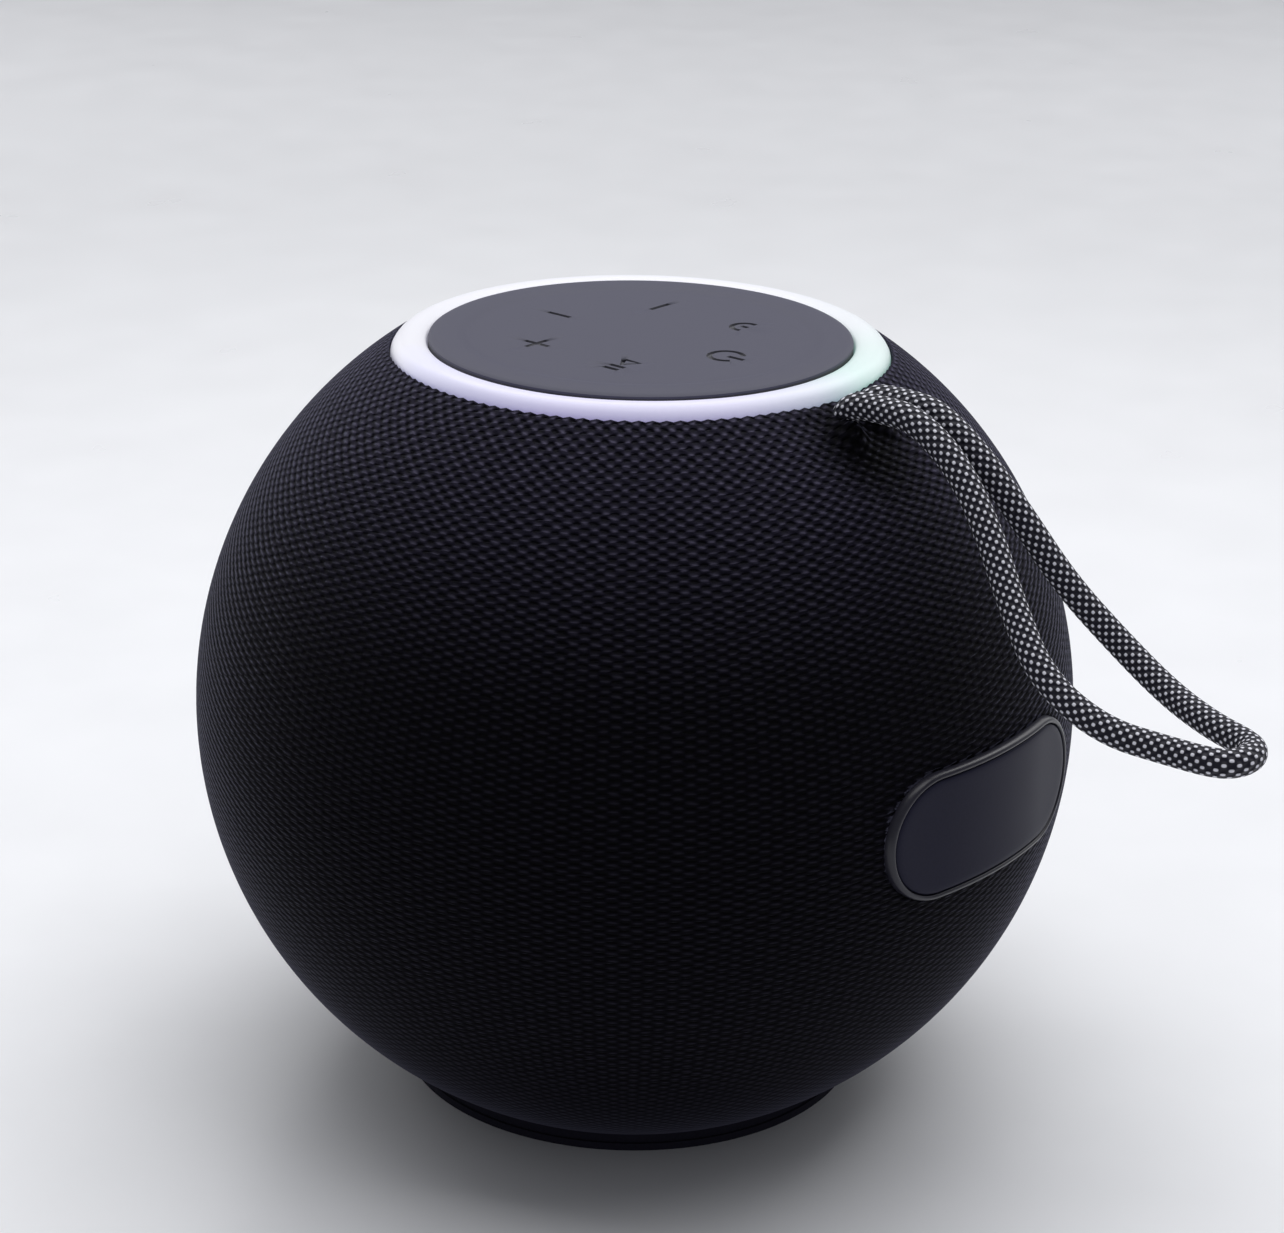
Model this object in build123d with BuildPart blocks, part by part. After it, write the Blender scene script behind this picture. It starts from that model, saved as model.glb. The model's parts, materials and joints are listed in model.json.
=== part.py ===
"""Portable ball speaker: knitted ball, lit ring, control pad, port flap and rope loop.

Millimetres. Origin at the centre of the foot on the table, +Z up, +Y towards the port flap.
"""
from build123d import *
from math import cos, pi, radians, sin, sqrt, tan
import os

os.makedirs("parts", exist_ok=True)

# ---------------------------------------------------------------- driving sizes
# Ball
ball_r = 63.0          # outside of the knitted cover
cover_t = 0.8          # knitted cover
glue_t = 0.1           # glue between the cover and the shells
shell_t = 2.2          # shell wall
floor_t = 2.0          # flat floor of the shells
seam_t = 0.6           # gasket between the front and rear shells
fit_gap = 0.2          # between pieces that are fitted into each other and don't move
run_gap = 0.3          # between pieces that move past each other

# Foot
base_r = 33.8          # rubber foot
base_show = 2.6        # height of the cover's lower edge above the table
foot_t = 1.1           # rubber foot
plate_inset = 0.4      # base plate's rim inside the foot's rim

# Light ring and control pad
ring_r = 34.7          # outside of the ring, where the cover ends
ring_w = 5.0           # ring's width seen from above
ring_sink = 0.4        # ring's outer edge below the cover's edge
ring_crown = 1.8       # ring's crown above its outer edge
ring_inner_up = 1.3    # ring's inner edge above its outer edge
ring_t = 1.8           # ring's thickness at its outer edge
ring_skirt_t = 0.8     # skirt that stands on the deck
pad_rise = 1.8         # pad's face above the cover's edge
pad_t = 2.4            # pad's thickness
pad_chamfer_w = 1.4    # width of the pad's sloping rim
pad_chamfer_h = 0.3    # drop of the pad's sloping rim

# Keys
key_count = 6
key_r = 5.0            # key cap
key_pitch_r = 15.2     # circle that the keys stand on
key_travel = 0.4       # how far a key goes down
key_stem_r = 1.8
switch_w = 4.2         # switch body
switch_h = 1.0
switch_knob_r = 1.3
switch_knob_h = 0.5
key_rest_gap = 0.1     # between a fully pressed key and its switch
switch_room = 2.6      # from the button board's face to the pad's underside

# Boards and deck
board_t = 1.2          # button board
deck_t = 1.8
deck_wall_t = 2.0      # ring wall that carries the pad
deck_wall_inset = 0.8  # pad's rim outside that wall
deck_post_r = 3.5      # middle post that carries the pad
led_board_t = 1.0
led_count = 12
led_w = 2.4
led_h = 0.8
mic_w = 4.0
mic_h = 1.1
mic_port_r = 0.5
mic_in = 6.2           # microphone's distance inside the deck's wall

# Screws
screw_r = 1.0          # shank of the small screws
head_r = 1.9
head_h = 1.2
thread_gap = 0.04      # between a shank and its pilot hole
deck_screw_in = 3.2    # deck screws' distance inside the deck's wall
lug_w = 6.0            # lugs that carry the deck
lug_t = 3.5
boss_wall = 1.8        # plastic round a pilot hole
base_screw_at = 26.0
base_screw_h = 0.9     # flat heads in the base plate
base_boss_h = 5.0
seam_boss_in = 12.8    # bosses that hold the shells together, from the ball's surface
seam_boss_angle = 23.5 # degrees above and below level
seam_boss_r = 3.3
seam_screw_r = 1.25
seam_head_r = 2.2
seam_head_h = 1.6
seam_head_y = 12.0     # depth of the counterbore's seat behind the seam
seam_grip = 9.0        # length of thread in the front boss
seam_boss_l = 12.0

# Front driver
baffle_in = 18.5       # front of the baffle, from the ball's surface
baffle_t = 2.8
driver_r = 29.5        # driver's flange
driver_flange_t = 1.5
driver_gasket_t = 0.5
driver_hole_r = 23.4   # opening inside the flange
driver_wall = 1.2      # basket wall
basket_depth = 11.0    # from the flange's front to the spider's ledge
basket_r = 17.0        # basket's narrow end
basket_ledge_w = 1.5
basket_back = 2.5      # from the ledge to the basket's back plate
basket_back_t = 1.5
driver_screw_at = 27.3
basket_window_count = 6     # round windows in the basket's wall
basket_window_r = 3.4
tab_w = 6.0            # terminal tab on top of the basket
tab_h = 3.2
top_plate_t = 3.0
magnet_r = 18.0
magnet_t = 8.0
magnet_hole_r = 9.0
yoke_t = 3.0
pole_r = 6.0
coil_t = 0.6
coil_dip = 4.0         # coil's length behind the top plate's front
cone_r = 19.8
cone_t = 0.6
cone_depth = 8.5
roll_t = 0.4           # thickness of surrounds, spider and dust cap
roll_lip = 1.2         # flat lips of the driver's surround
dust_cap_r = 8.6
dust_cap_rise = 2.6

# Passive radiator, looking down and back
radiator_tilt = 40.0   # degrees below level
radiator_in = 18.5     # seat, from the ball's surface
radiator_r = 20.0
radiator_t = 1.5
radiator_inner_r = 15.8
radiator_plate_r = 12.4
radiator_plate_t = 1.2
radiator_weight_r = 6.0
radiator_weight_t = 2.0
radiator_screw_at = 18.1
well_wall = 2.0
well_flange_t = 2.5
well_hole_r = 16.4

# Grille holes behind the cover
hole_r = 1.6
hole_pitch = 5.4
front_ring_count = 4
rear_ring_count = 2

# Port bay
port_up = 1.0          # bay's centre above the ball's centre
bezel_w = 42.5
bezel_h = 19.4
bezel_rim = 1.5
bezel_proud = 0.9      # bezel's front outside the cover
bay_depth = 8.4        # tray's front face, from the ball's surface
tray_t = 1.8
tray_margin = 4.75     # tray's rim outside the bezel
tray_screw_x = 12.0
tray_screw_up = 12.1
tray_screw_l = 4.2
flap_proud = 0.5
flap_t = 1.6
flap_lip_t = 1.2
flap_lip_in = 0.8      # lip's distance inside the flap's edge
flap_lip_depth = 2.6
strap_w = 3.6
strap_t = 0.5

# Main board
pcb_t = 1.6
pcb_w = 48.0
pcb_l = 38.5
socket_in = 0.1        # sockets' mouths behind the tray's front face
pcb_rail_w = 4.0
pcb_rail_h = 3.0
pcb_screw_x = 20.0
pcb_screw_in = 5.0     # rear screws' distance from the board's edge
pcb_screw_pitch = 19.0
chips = [              # x and y from the board's middle, side
    (0.0, -2.0, 11.0),
    (13.0, -7.0, 7.3),
    (2.0, -10.4, 5.5),
]
chip_h = 1.4
radio_x = -12.0
radio_w = 11.6         # shielded radio module
radio_l = 15.0
radio_h = 2.2
cap_r = 3.15
cap_h = 6.5
cap_spots = [(9.5, 3.0), (16.2, 1.0)]
plug_w = 6.0           # lead sockets
plug_l = 5.0
plug_h = 4.5
plug_in = 3.4          # lead sockets' middle from the board's rear edge
speaker_socket_x = -4.0
battery_socket_x = 8.0

# Sockets
usb_w = 8.94
usb_h = 3.26
usb_l = 7.3
usb_wall = 0.3
usb_tongue_t = 0.7
usb_x = -1.0
jack_w = 6.6
jack_h = 5.2
jack_l = 11.0
jack_nose_r = 2.6
jack_bore_r = 1.8
jack_bore_l = 10.0
jack_x = 11.5
card_w = 12.0
card_h = 1.9
card_l = 13.0
card_slot_w = 11.2
card_slot_h = 1.0
card_x = -13.0

# Battery
cell_r = 9.1
cell_l = 65.0
cell_nub_r = 3.0
cell_nub_l = 0.8
cell_y = -2.0
cell_lift = 1.2        # between the cell and the cradle's plate
cradle_t = 1.6
cradle_l = 54.0
cradle_w = 20.0
saddle_t = 5.0
saddle_x = 24.0
saddle_drop = 3.0      # saddles' top below the cell's axis
strap_band_w = 8.0
strap_band_t = 0.6

# Rope loop: two strands side by side leave the ball behind the ring
rope_r = 2.0
rope_x = 2.3           # half the strands' spacing at the ball
rope_out = 3.4         # rope's middle outside the ring
rope_hole_gap = 0.4
anchor_w = 22.0
anchor_l = 6.4
anchor_t = 4.5
anchor_socket = 3.5     # depth of the sockets that hold the rope's ends
anchor_screw_x = 9.0
rope_side = [          # one strand after its socket, from its exit beside the cover's edge
    (2.3, 0.0, -7.5),
    (2.3, 0.3, 0.9),
    (2.3, 8.5, 2.1),
    (2.4, 16.5, -3.1),
    (3.7, 23.1, -11.3),
    (6.1, 29.2, -20.0),
    (8.9, 36.0, -27.1),
    (8.1, 44.6, -31.8),
    (5.3, 52.8, -33.1),
    (4.0, 58.9, -33.5),
    (1.6, 60.8, -33.5),
]

# Leads
lead_r = 0.7
battery_lead_x = 20.0
ribbon_w = 8.0
ribbon_t = 0.3
ribbon_x = -12.5
ribbon_slot_l = 3.0
ribbon_plug_h = 1.6

# ---------------------------------------------------------------- worked-out sizes


def rim(radius, distance):
    """Radius of the circle that a flat cut leaves on a ball, at a distance from its centre."""
    return sqrt(radius**2 - distance**2)


cover_in = ball_r - cover_t
shell_out = cover_in - glue_t
shell_in = shell_out - shell_t
fitting_r = shell_out - shell_t / 2   # what stands on the shells' inside ends within their wall
ball_z = base_show + rim(ball_r, base_r)
floor_z = base_show
floor_top = floor_z + floor_t
edge_z = ball_z + rim(ball_r, ring_r)
pad_z = edge_z + pad_rise
pad_r = ring_r - ring_w - fit_gap
pad_low = pad_z - pad_t
board_top = pad_low - switch_room
deck_top = board_top - board_t
deck_low = deck_top - deck_t
bore_r = ring_r + fit_gap
wall_out = pad_r - deck_wall_inset
wall_in = wall_out - deck_wall_t
switch_top = board_top + switch_h + switch_knob_h
key_low = switch_top + key_rest_gap + key_travel
pilot_r = screw_r + thread_gap
clear_r = screw_r + fit_gap
deck_screw_at = wall_in - deck_screw_in
mic_at = wall_in - mic_in
seam_boss_x = (ball_r - seam_boss_in) * cos(radians(seam_boss_angle))
seam_boss_z = (ball_r - seam_boss_in) * sin(radians(seam_boss_angle))
boss_r = pilot_r + boss_wall
step = 360 / key_count
key_start = 30

port_z = ball_z + port_up
flap_w = bezel_w - 2 * (bezel_rim + run_gap)
flap_h = bezel_h - 2 * (bezel_rim + run_gap)
flap_out = ball_r + flap_proud
flap_in = flap_out - flap_t
tray_w = bezel_w + 2 * tray_margin
tray_h = bezel_h + 2 * tray_margin
tray_y = ball_r - bay_depth
tray_back = tray_y - tray_t
pcb_top = port_z - usb_h / 2
pcb_low = pcb_top - pcb_t
pcb_front = tray_back - fit_gap
pcb_y = pcb_front - pcb_l / 2
rail_low = pcb_low - pcb_rail_h
pcb_screw_y = pcb_y - pcb_l / 2 + pcb_screw_in + pcb_screw_pitch / 2
plug_y = pcb_y - pcb_l / 2 + plug_in
socket_y = tray_y - socket_in

rope_gap = rope_r + rope_hole_gap
rope_exit_y = ring_r + rope_out
anchor_corner = (anchor_w / 2) ** 2 + (rope_exit_y + anchor_l / 2) ** 2
anchor_top = ball_z + sqrt(shell_in**2 - anchor_corner) - fit_gap

baffle_y = ball_r - baffle_in
flange_front = baffle_y + driver_gasket_t + driver_flange_t
baffle_hole_r = driver_hole_r + driver_wall + run_gap
ledge_y = flange_front - basket_depth
basket_low = ledge_y - basket_back - basket_back_t
plate_low = basket_low - top_plate_t
magnet_low = plate_low - magnet_t
coil_in = pole_r + run_gap
coil_out = coil_in + coil_t
neck_y = flange_front - cone_depth
radiator_at = ball_r - radiator_in
radiator_front = radiator_at + radiator_t

# Planes: the level plane through the ball's centre, and one facing each opening
level = Plane.XY.offset(ball_z)
driver_axis = Axis((0, 0, ball_z), (0, -1, 0))
front_plane = Plane(origin=(0, 0, ball_z), x_dir=(1, 0, 0), z_dir=(0, -1, 0))
driver_section = Plane(origin=(0, 0, ball_z), x_dir=(1, 0, 0), z_dir=(0, 0, -1))
port_plane = Plane(origin=(0, 0, port_z), x_dir=(-1, 0, 0), z_dir=(0, 1, 0))
tilt = radians(radiator_tilt)
radiator_plane = Plane(
    origin=(0, 0, ball_z), x_dir=(-1, 0, 0), z_dir=(0, cos(tilt), -sin(tilt))
)
radiator_section = Plane(
    origin=(0, 0, ball_z), x_dir=(1, 0, 0), z_dir=(0, sin(tilt), cos(tilt))
)
radiator_axis = Axis((0, 0, ball_z), (0, cos(tilt), -sin(tilt)))


def hole_rings(rings):
    """Round holes in rings, six more in each ring than in the last."""
    Circle(hole_r)
    for ring in range(1, rings + 1):
        with PolarLocations(ring * hole_pitch, 6 * ring):
            Circle(hole_r)


# ---------------------------------------------------------------- shells
# The hollow inside both shells, flat at the bottom
with BuildPart() as hollow:
    with Locations((0, 0, ball_z)):
        Sphere(shell_in)
    with BuildSketch(Plane.XY.offset(floor_top)):
        Circle(ball_r)
    extrude(amount=-2 * ball_r, mode=Mode.SUBTRACT)

# Both shells before the seam parts them
with BuildPart() as shell_wall:
    with Locations((0, 0, ball_z)):
        Sphere(shell_out)
    with BuildSketch(Plane.XY.offset(floor_z)):
        Circle(ball_r)
    extrude(amount=-2 * ball_r, mode=Mode.SUBTRACT)
    add(hollow.part, mode=Mode.SUBTRACT)
    with BuildSketch(level):
        Circle(bore_r)
    extrude(amount=2 * ball_r, mode=Mode.SUBTRACT)

# Everything that stands on the front shell's inside
with BuildPart() as front_fittings:
    with BuildSketch(front_plane.offset(baffle_y - baffle_t)):
        Circle(shell_out)
        Circle(baffle_hole_r, mode=Mode.SUBTRACT)
    extrude(amount=baffle_t)
    with BuildSketch(front_plane.offset(seam_t / 2)):
        with GridLocations(2 * seam_boss_x, 2 * seam_boss_z, 2, 2):
            Circle(seam_boss_r)
    extrude(amount=shell_out)
    with BuildSketch(Plane.XY.offset(deck_low)):
        with PolarLocations(ball_r / 2 + deck_screw_at - boss_r, 2, start_angle=240, angular_range=120):
            Rectangle(ball_r, lug_w)
    extrude(amount=-lug_t)
    with BuildSketch(Plane.XY.offset(floor_top - floor_t / 2)):
        with PolarLocations(base_screw_at, 2, start_angle=225, angular_range=180):
            Circle(boss_r)
    extrude(amount=base_boss_h + floor_t / 2)
    with Locations((0, 0, ball_z)):
        Sphere(fitting_r, mode=Mode.INTERSECT)
    with BuildSketch(Plane.XY.offset(floor_z)):
        Circle(ball_r)
    extrude(amount=-2 * ball_r, mode=Mode.SUBTRACT)

with BuildPart() as front_shell:
    add(shell_wall.part)
    add(front_fittings.part)
    split(bisect_by=Plane.XZ.offset(seam_t / 2), keep=Keep.TOP)
    with BuildSketch(front_plane.offset(baffle_y)):
        hole_rings(front_ring_count)
    extrude(amount=2 * ball_r, mode=Mode.SUBTRACT)
    with BuildSketch(front_plane.offset(baffle_y)):
        with PolarLocations(driver_screw_at, 4, start_angle=45):
            Circle(pilot_r)
    extrude(amount=-baffle_t, mode=Mode.SUBTRACT)
    with BuildSketch(front_plane):
        with GridLocations(2 * seam_boss_x, 2 * seam_boss_z, 2, 2):
            Circle(seam_screw_r + thread_gap)
    extrude(amount=seam_boss_l, mode=Mode.SUBTRACT)
    with BuildSketch(Plane.XY.offset(deck_low)):
        with PolarLocations(deck_screw_at, 2, start_angle=240, angular_range=120):
            Circle(pilot_r)
    extrude(amount=-lug_t, mode=Mode.SUBTRACT)
    with BuildSketch(Plane.XY.offset(floor_z)):
        with PolarLocations(base_screw_at, 2, start_angle=225, angular_range=180):
            Circle(pilot_r)
    extrude(amount=base_boss_h, mode=Mode.SUBTRACT)

# Everything that stands on the rear shell's inside
with BuildPart() as rear_fittings:
    with BuildSketch(port_plane.offset(tray_y)):
        SlotOverall(tray_w, tray_h)
    extrude(amount=2 * ball_r)
    with BuildSketch(radiator_plane.offset(radiator_at - well_flange_t)):
        Circle(radiator_r + fit_gap + well_wall)
    extrude(amount=2 * ball_r)
    with BuildSketch(radiator_plane.offset(radiator_at)):
        Circle(radiator_r + fit_gap)
    extrude(amount=2 * ball_r, mode=Mode.SUBTRACT)
    with BuildSketch(radiator_plane):
        Circle(well_hole_r)
    extrude(amount=2 * ball_r, mode=Mode.SUBTRACT)
    with BuildSketch(Plane.XZ.offset(-seam_t / 2)):
        with Locations((0, ball_z)):
            with GridLocations(2 * seam_boss_x, 2 * seam_boss_z, 2, 2):
                Circle(seam_boss_r)
    extrude(amount=-shell_out)
    with BuildSketch(Plane.XY.offset(deck_low)):
        with PolarLocations(ball_r / 2 + deck_screw_at - boss_r, 2, start_angle=60, angular_range=120):
            Rectangle(ball_r, lug_w)
    extrude(amount=-lug_t)
    with BuildSketch(Plane.XY.offset(floor_top - floor_t / 2)):
        with PolarLocations(base_screw_at, 2, start_angle=45, angular_range=180):
            Circle(boss_r)
    extrude(amount=base_boss_h + floor_t / 2)
    with BuildSketch(Plane.XY.offset(anchor_top)):
        with Locations((anchor_screw_x, rope_exit_y), (-anchor_screw_x, rope_exit_y)):
            Circle(boss_r)
    extrude(amount=2 * ball_r)
    with Locations((0, 0, ball_z)):
        Sphere(fitting_r, mode=Mode.INTERSECT)
    with BuildSketch(Plane.XY.offset(floor_z)):
        Circle(ball_r)
    extrude(amount=-2 * ball_r, mode=Mode.SUBTRACT)

with BuildPart() as rear_shell:
    add(shell_wall.part)
    add(rear_fittings.part)
    split(bisect_by=Plane.XZ.offset(-seam_t / 2), keep=Keep.BOTTOM)
    with BuildSketch(port_plane):
        SlotOverall(bezel_w + 2 * fit_gap, bezel_h + 2 * fit_gap)
    extrude(amount=2 * ball_r, mode=Mode.SUBTRACT)
    with BuildSketch(port_plane.offset(tray_y)):
        with GridLocations(2 * tray_screw_x, 2 * tray_screw_up, 2, 2):
            Circle(pilot_r)
    extrude(amount=tray_screw_l - tray_t, mode=Mode.SUBTRACT)
    with BuildSketch(radiator_plane.offset(radiator_at)):
        hole_rings(rear_ring_count)
    extrude(amount=2 * ball_r, mode=Mode.SUBTRACT)
    with BuildSketch(radiator_plane.offset(radiator_at)):
        with PolarLocations(radiator_screw_at, 4, start_angle=45):
            Circle(pilot_r)
    extrude(amount=-well_flange_t, mode=Mode.SUBTRACT)
    with BuildSketch(Plane.XZ):
        with Locations((0, ball_z)):
            with GridLocations(2 * seam_boss_x, 2 * seam_boss_z, 2, 2):
                Circle(seam_screw_r + fit_gap)
    extrude(amount=-seam_head_y, mode=Mode.SUBTRACT)
    with BuildSketch(Plane.XZ.offset(-seam_head_y)):
        with Locations((0, ball_z)):
            with GridLocations(2 * seam_boss_x, 2 * seam_boss_z, 2, 2):
                Circle(seam_head_r + fit_gap)
    extrude(amount=-2 * ball_r, mode=Mode.SUBTRACT)
    with BuildSketch(Plane.XY.offset(deck_low)):
        with PolarLocations(deck_screw_at, 2, start_angle=60, angular_range=120):
            Circle(pilot_r)
    extrude(amount=-lug_t, mode=Mode.SUBTRACT)
    with BuildSketch(Plane.XY.offset(floor_z)):
        with PolarLocations(base_screw_at, 2, start_angle=45, angular_range=180):
            Circle(pilot_r)
    extrude(amount=base_boss_h, mode=Mode.SUBTRACT)
    with BuildSketch(Plane.XY.offset(anchor_top)):
        with Locations((anchor_screw_x, rope_exit_y), (-anchor_screw_x, rope_exit_y)):
            Circle(pilot_r)
    extrude(amount=screw_r * 3, mode=Mode.SUBTRACT)
    with BuildSketch(Plane.XY.offset(anchor_top)):
        with Locations((0, rope_exit_y)):
            SlotOverall(2 * (rope_x + rope_gap), 2 * rope_gap)
    extrude(amount=2 * ball_r, mode=Mode.SUBTRACT)

# Gasket in the seam between the shells
with BuildPart() as seam_gasket:
    add(shell_wall.part)
    with BuildSketch(Plane.XZ.offset(-seam_t / 2)):
        Rectangle(4 * ball_r, 4 * ball_r)
    extrude(amount=seam_t, mode=Mode.INTERSECT)

with BuildPart() as seam_screws:
    with BuildSketch(Plane.XZ.offset(-seam_head_y)):
        with Locations((0, ball_z)):
            with GridLocations(2 * seam_boss_x, 2 * seam_boss_z, 2, 2):
                Circle(seam_head_r)
    extrude(amount=-seam_head_h)
    with BuildSketch(Plane.XZ.offset(-seam_head_y)):
        with Locations((0, ball_z)):
            with GridLocations(2 * seam_boss_x, 2 * seam_boss_z, 2, 2):
                Circle(seam_screw_r)
    extrude(amount=seam_head_y + seam_grip)

# Knitted cover, open round the ring, the foot, the port bezel and the rope
with BuildPart() as knitted_cover:
    with Locations((0, 0, ball_z)):
        Sphere(ball_r)
        Sphere(cover_in, mode=Mode.SUBTRACT)
    with BuildSketch(Plane.XY.offset(floor_z)):
        Circle(ball_r)
    extrude(amount=-2 * ball_r, mode=Mode.SUBTRACT)
    with BuildSketch(level):
        Circle(bore_r)
    extrude(amount=2 * ball_r, mode=Mode.SUBTRACT)
    with BuildSketch(port_plane):
        SlotOverall(bezel_w + 2 * fit_gap, bezel_h + 2 * fit_gap)
    extrude(amount=2 * ball_r, mode=Mode.SUBTRACT)
    with BuildSketch(level):
        with Locations((0, rope_exit_y)):
            SlotOverall(2 * (rope_x + rope_gap), 2 * rope_gap)
    extrude(amount=2 * ball_r, mode=Mode.SUBTRACT)

# ---------------------------------------------------------------- foot
with BuildPart() as base_foot:
    with BuildSketch():
        Circle(base_r)
    extrude(amount=foot_t)

with BuildPart() as base_plate:
    with BuildSketch(Plane.XY.offset(foot_t)):
        Circle(base_r - plate_inset)
    extrude(amount=floor_z - foot_t)
    with BuildSketch(Plane.XY.offset(foot_t)):
        with PolarLocations(base_screw_at, 4, start_angle=45):
            Circle(head_r + fit_gap)
    extrude(amount=base_screw_h, mode=Mode.SUBTRACT)
    with BuildSketch(Plane.XY.offset(foot_t)):
        with PolarLocations(base_screw_at, 4, start_angle=45):
            Circle(clear_r)
    extrude(amount=floor_z - foot_t, mode=Mode.SUBTRACT)

with BuildPart() as base_screws:
    with BuildSketch(Plane.XY.offset(foot_t)):
        with PolarLocations(base_screw_at, 4, start_angle=45):
            Circle(head_r)
    extrude(amount=base_screw_h)
    with BuildSketch(Plane.XY.offset(foot_t)):
        with PolarLocations(base_screw_at, 4, start_angle=45):
            Circle(screw_r)
    extrude(amount=floor_z - foot_t + base_boss_h - fit_gap)

# ---------------------------------------------------------------- top
deck_spread_x = 2 * deck_screw_at * cos(radians(60))
deck_spread_y = 2 * deck_screw_at * sin(radians(60))

with BuildPart() as top_deck:
    with BuildSketch(Plane.XY.offset(deck_low)):
        Circle(ring_r)
    extrude(amount=deck_t)
    with BuildSketch(Plane.XY.offset(deck_top)):
        Circle(wall_out)
        Circle(wall_in, mode=Mode.SUBTRACT)
        Circle(deck_post_r)
    extrude(amount=pad_low - deck_top)
    with BuildSketch(Plane.XY.offset(deck_low)):
        with GridLocations(deck_spread_x, deck_spread_y, 2, 2):
            Circle(clear_r)
        with Locations((ribbon_x, 0)):
            Rectangle(ribbon_w + 2 * fit_gap, ribbon_slot_l)
    extrude(amount=deck_t, mode=Mode.SUBTRACT)

with BuildPart() as button_board:
    with BuildSketch(Plane.XY.offset(deck_top)):
        Circle(wall_in - fit_gap)
        Circle(deck_post_r + fit_gap, mode=Mode.SUBTRACT)
        with GridLocations(deck_spread_x, deck_spread_y, 2, 2):
            Circle(clear_r, mode=Mode.SUBTRACT)
    extrude(amount=board_t)

with BuildPart() as deck_screws:
    with BuildSketch(Plane.XY.offset(board_top)):
        with GridLocations(deck_spread_x, deck_spread_y, 2, 2):
            Circle(head_r)
    extrude(amount=head_h)
    with BuildSketch(Plane.XY.offset(board_top)):
        with GridLocations(deck_spread_x, deck_spread_y, 2, 2):
            Circle(screw_r)
    extrude(amount=-(board_t + deck_t + lug_t - fit_gap))

with BuildPart() as key_switches:
    with BuildSketch(Plane.XY.offset(board_top)):
        with PolarLocations(key_pitch_r, key_count, start_angle=key_start):
            Rectangle(switch_w, switch_w)
    extrude(amount=switch_h)
    with BuildSketch(Plane.XY.offset(board_top + switch_h)):
        with PolarLocations(key_pitch_r, key_count, start_angle=key_start):
            Circle(switch_knob_r)
    extrude(amount=switch_knob_h)

with BuildPart() as microphone:
    with BuildSketch(Plane.XY.offset(board_top)):
        with Locations((mic_at, 0)):
            Rectangle(mic_w * 3 / 4, mic_w)
            Circle(mic_port_r, mode=Mode.SUBTRACT)
    extrude(amount=mic_h)

# Translucent ring round the pad, on a skirt that stands on the deck
ring_in = ring_r - ring_w
ring_edge = edge_z - ring_sink
with BuildPart() as light_ring:
    with BuildSketch(Plane.XZ):
        with BuildLine():
            ThreePointArc(
                (ring_in, ring_edge + ring_inner_up),
                (ring_r - ring_w / 2, ring_edge + ring_crown),
                (ring_r, ring_edge),
            )
            Polyline(
                (ring_r, ring_edge),
                (ring_r, deck_top),
                (ring_r - ring_skirt_t, deck_top),
                (ring_r - ring_skirt_t, ring_edge - ring_t),
                (ring_in, ring_edge - ring_t),
                (ring_in, ring_edge + ring_inner_up),
            )
        make_face()
    revolve(axis=Axis.Z)

led_in = wall_out + fit_gap
led_out = ring_r - ring_skirt_t - fit_gap
with BuildPart() as led_board:
    with BuildSketch(Plane.XY.offset(deck_top)):
        Circle(led_out)
        Circle(led_in, mode=Mode.SUBTRACT)
    extrude(amount=led_board_t)

with BuildPart() as leds:
    with BuildSketch(Plane.XY.offset(deck_top + led_board_t)):
        with PolarLocations((led_in + led_out) / 2, led_count):
            Rectangle(led_w, led_w)
    extrude(amount=led_h)

# Rubber pad with a sloping rim, open where the keys stand
with BuildPart() as control_pad:
    with BuildSketch(Plane.XZ):
        with BuildLine():
            Polyline(
                (0, pad_low),
                (pad_r, pad_low),
                (pad_r, pad_z - pad_chamfer_h),
                (pad_r - pad_chamfer_w, pad_z),
                (0, pad_z),
                close=True,
            )
        make_face()
    revolve(axis=Axis.Z)
    with BuildSketch(Plane.XY.offset(pad_low)):
        with PolarLocations(key_pitch_r, key_count, start_angle=key_start):
            Circle(key_r + run_gap)
    extrude(amount=pad_t, mode=Mode.SUBTRACT)

# Six keys, each a cap level with the pad's face and a stem over its switch
key_names = ["key_play", "key_power", "key_light", "key_minus", "key_link", "key_plus"]
keys = {}
for number in range(key_count):
    with BuildPart() as key:
        with BuildSketch(Plane.XY.offset(pad_low)):
            with PolarLocations(key_pitch_r, 1, start_angle=key_start + number * step):
                Circle(key_r)
        extrude(amount=pad_t)
        with BuildSketch(Plane.XY.offset(key_low)):
            with PolarLocations(key_pitch_r, 1, start_angle=key_start + number * step):
                Circle(key_stem_r)
        extrude(amount=pad_low - key_low)
    keys[key_names[number]] = key

# ---------------------------------------------------------------- front driver
with BuildPart() as driver_gasket:
    with BuildSketch(front_plane.offset(baffle_y)):
        Circle(driver_r)
        Circle(baffle_hole_r, mode=Mode.SUBTRACT)
        with PolarLocations(driver_screw_at, 4, start_angle=45):
            Circle(clear_r, mode=Mode.SUBTRACT)
    extrude(amount=driver_gasket_t)

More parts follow.
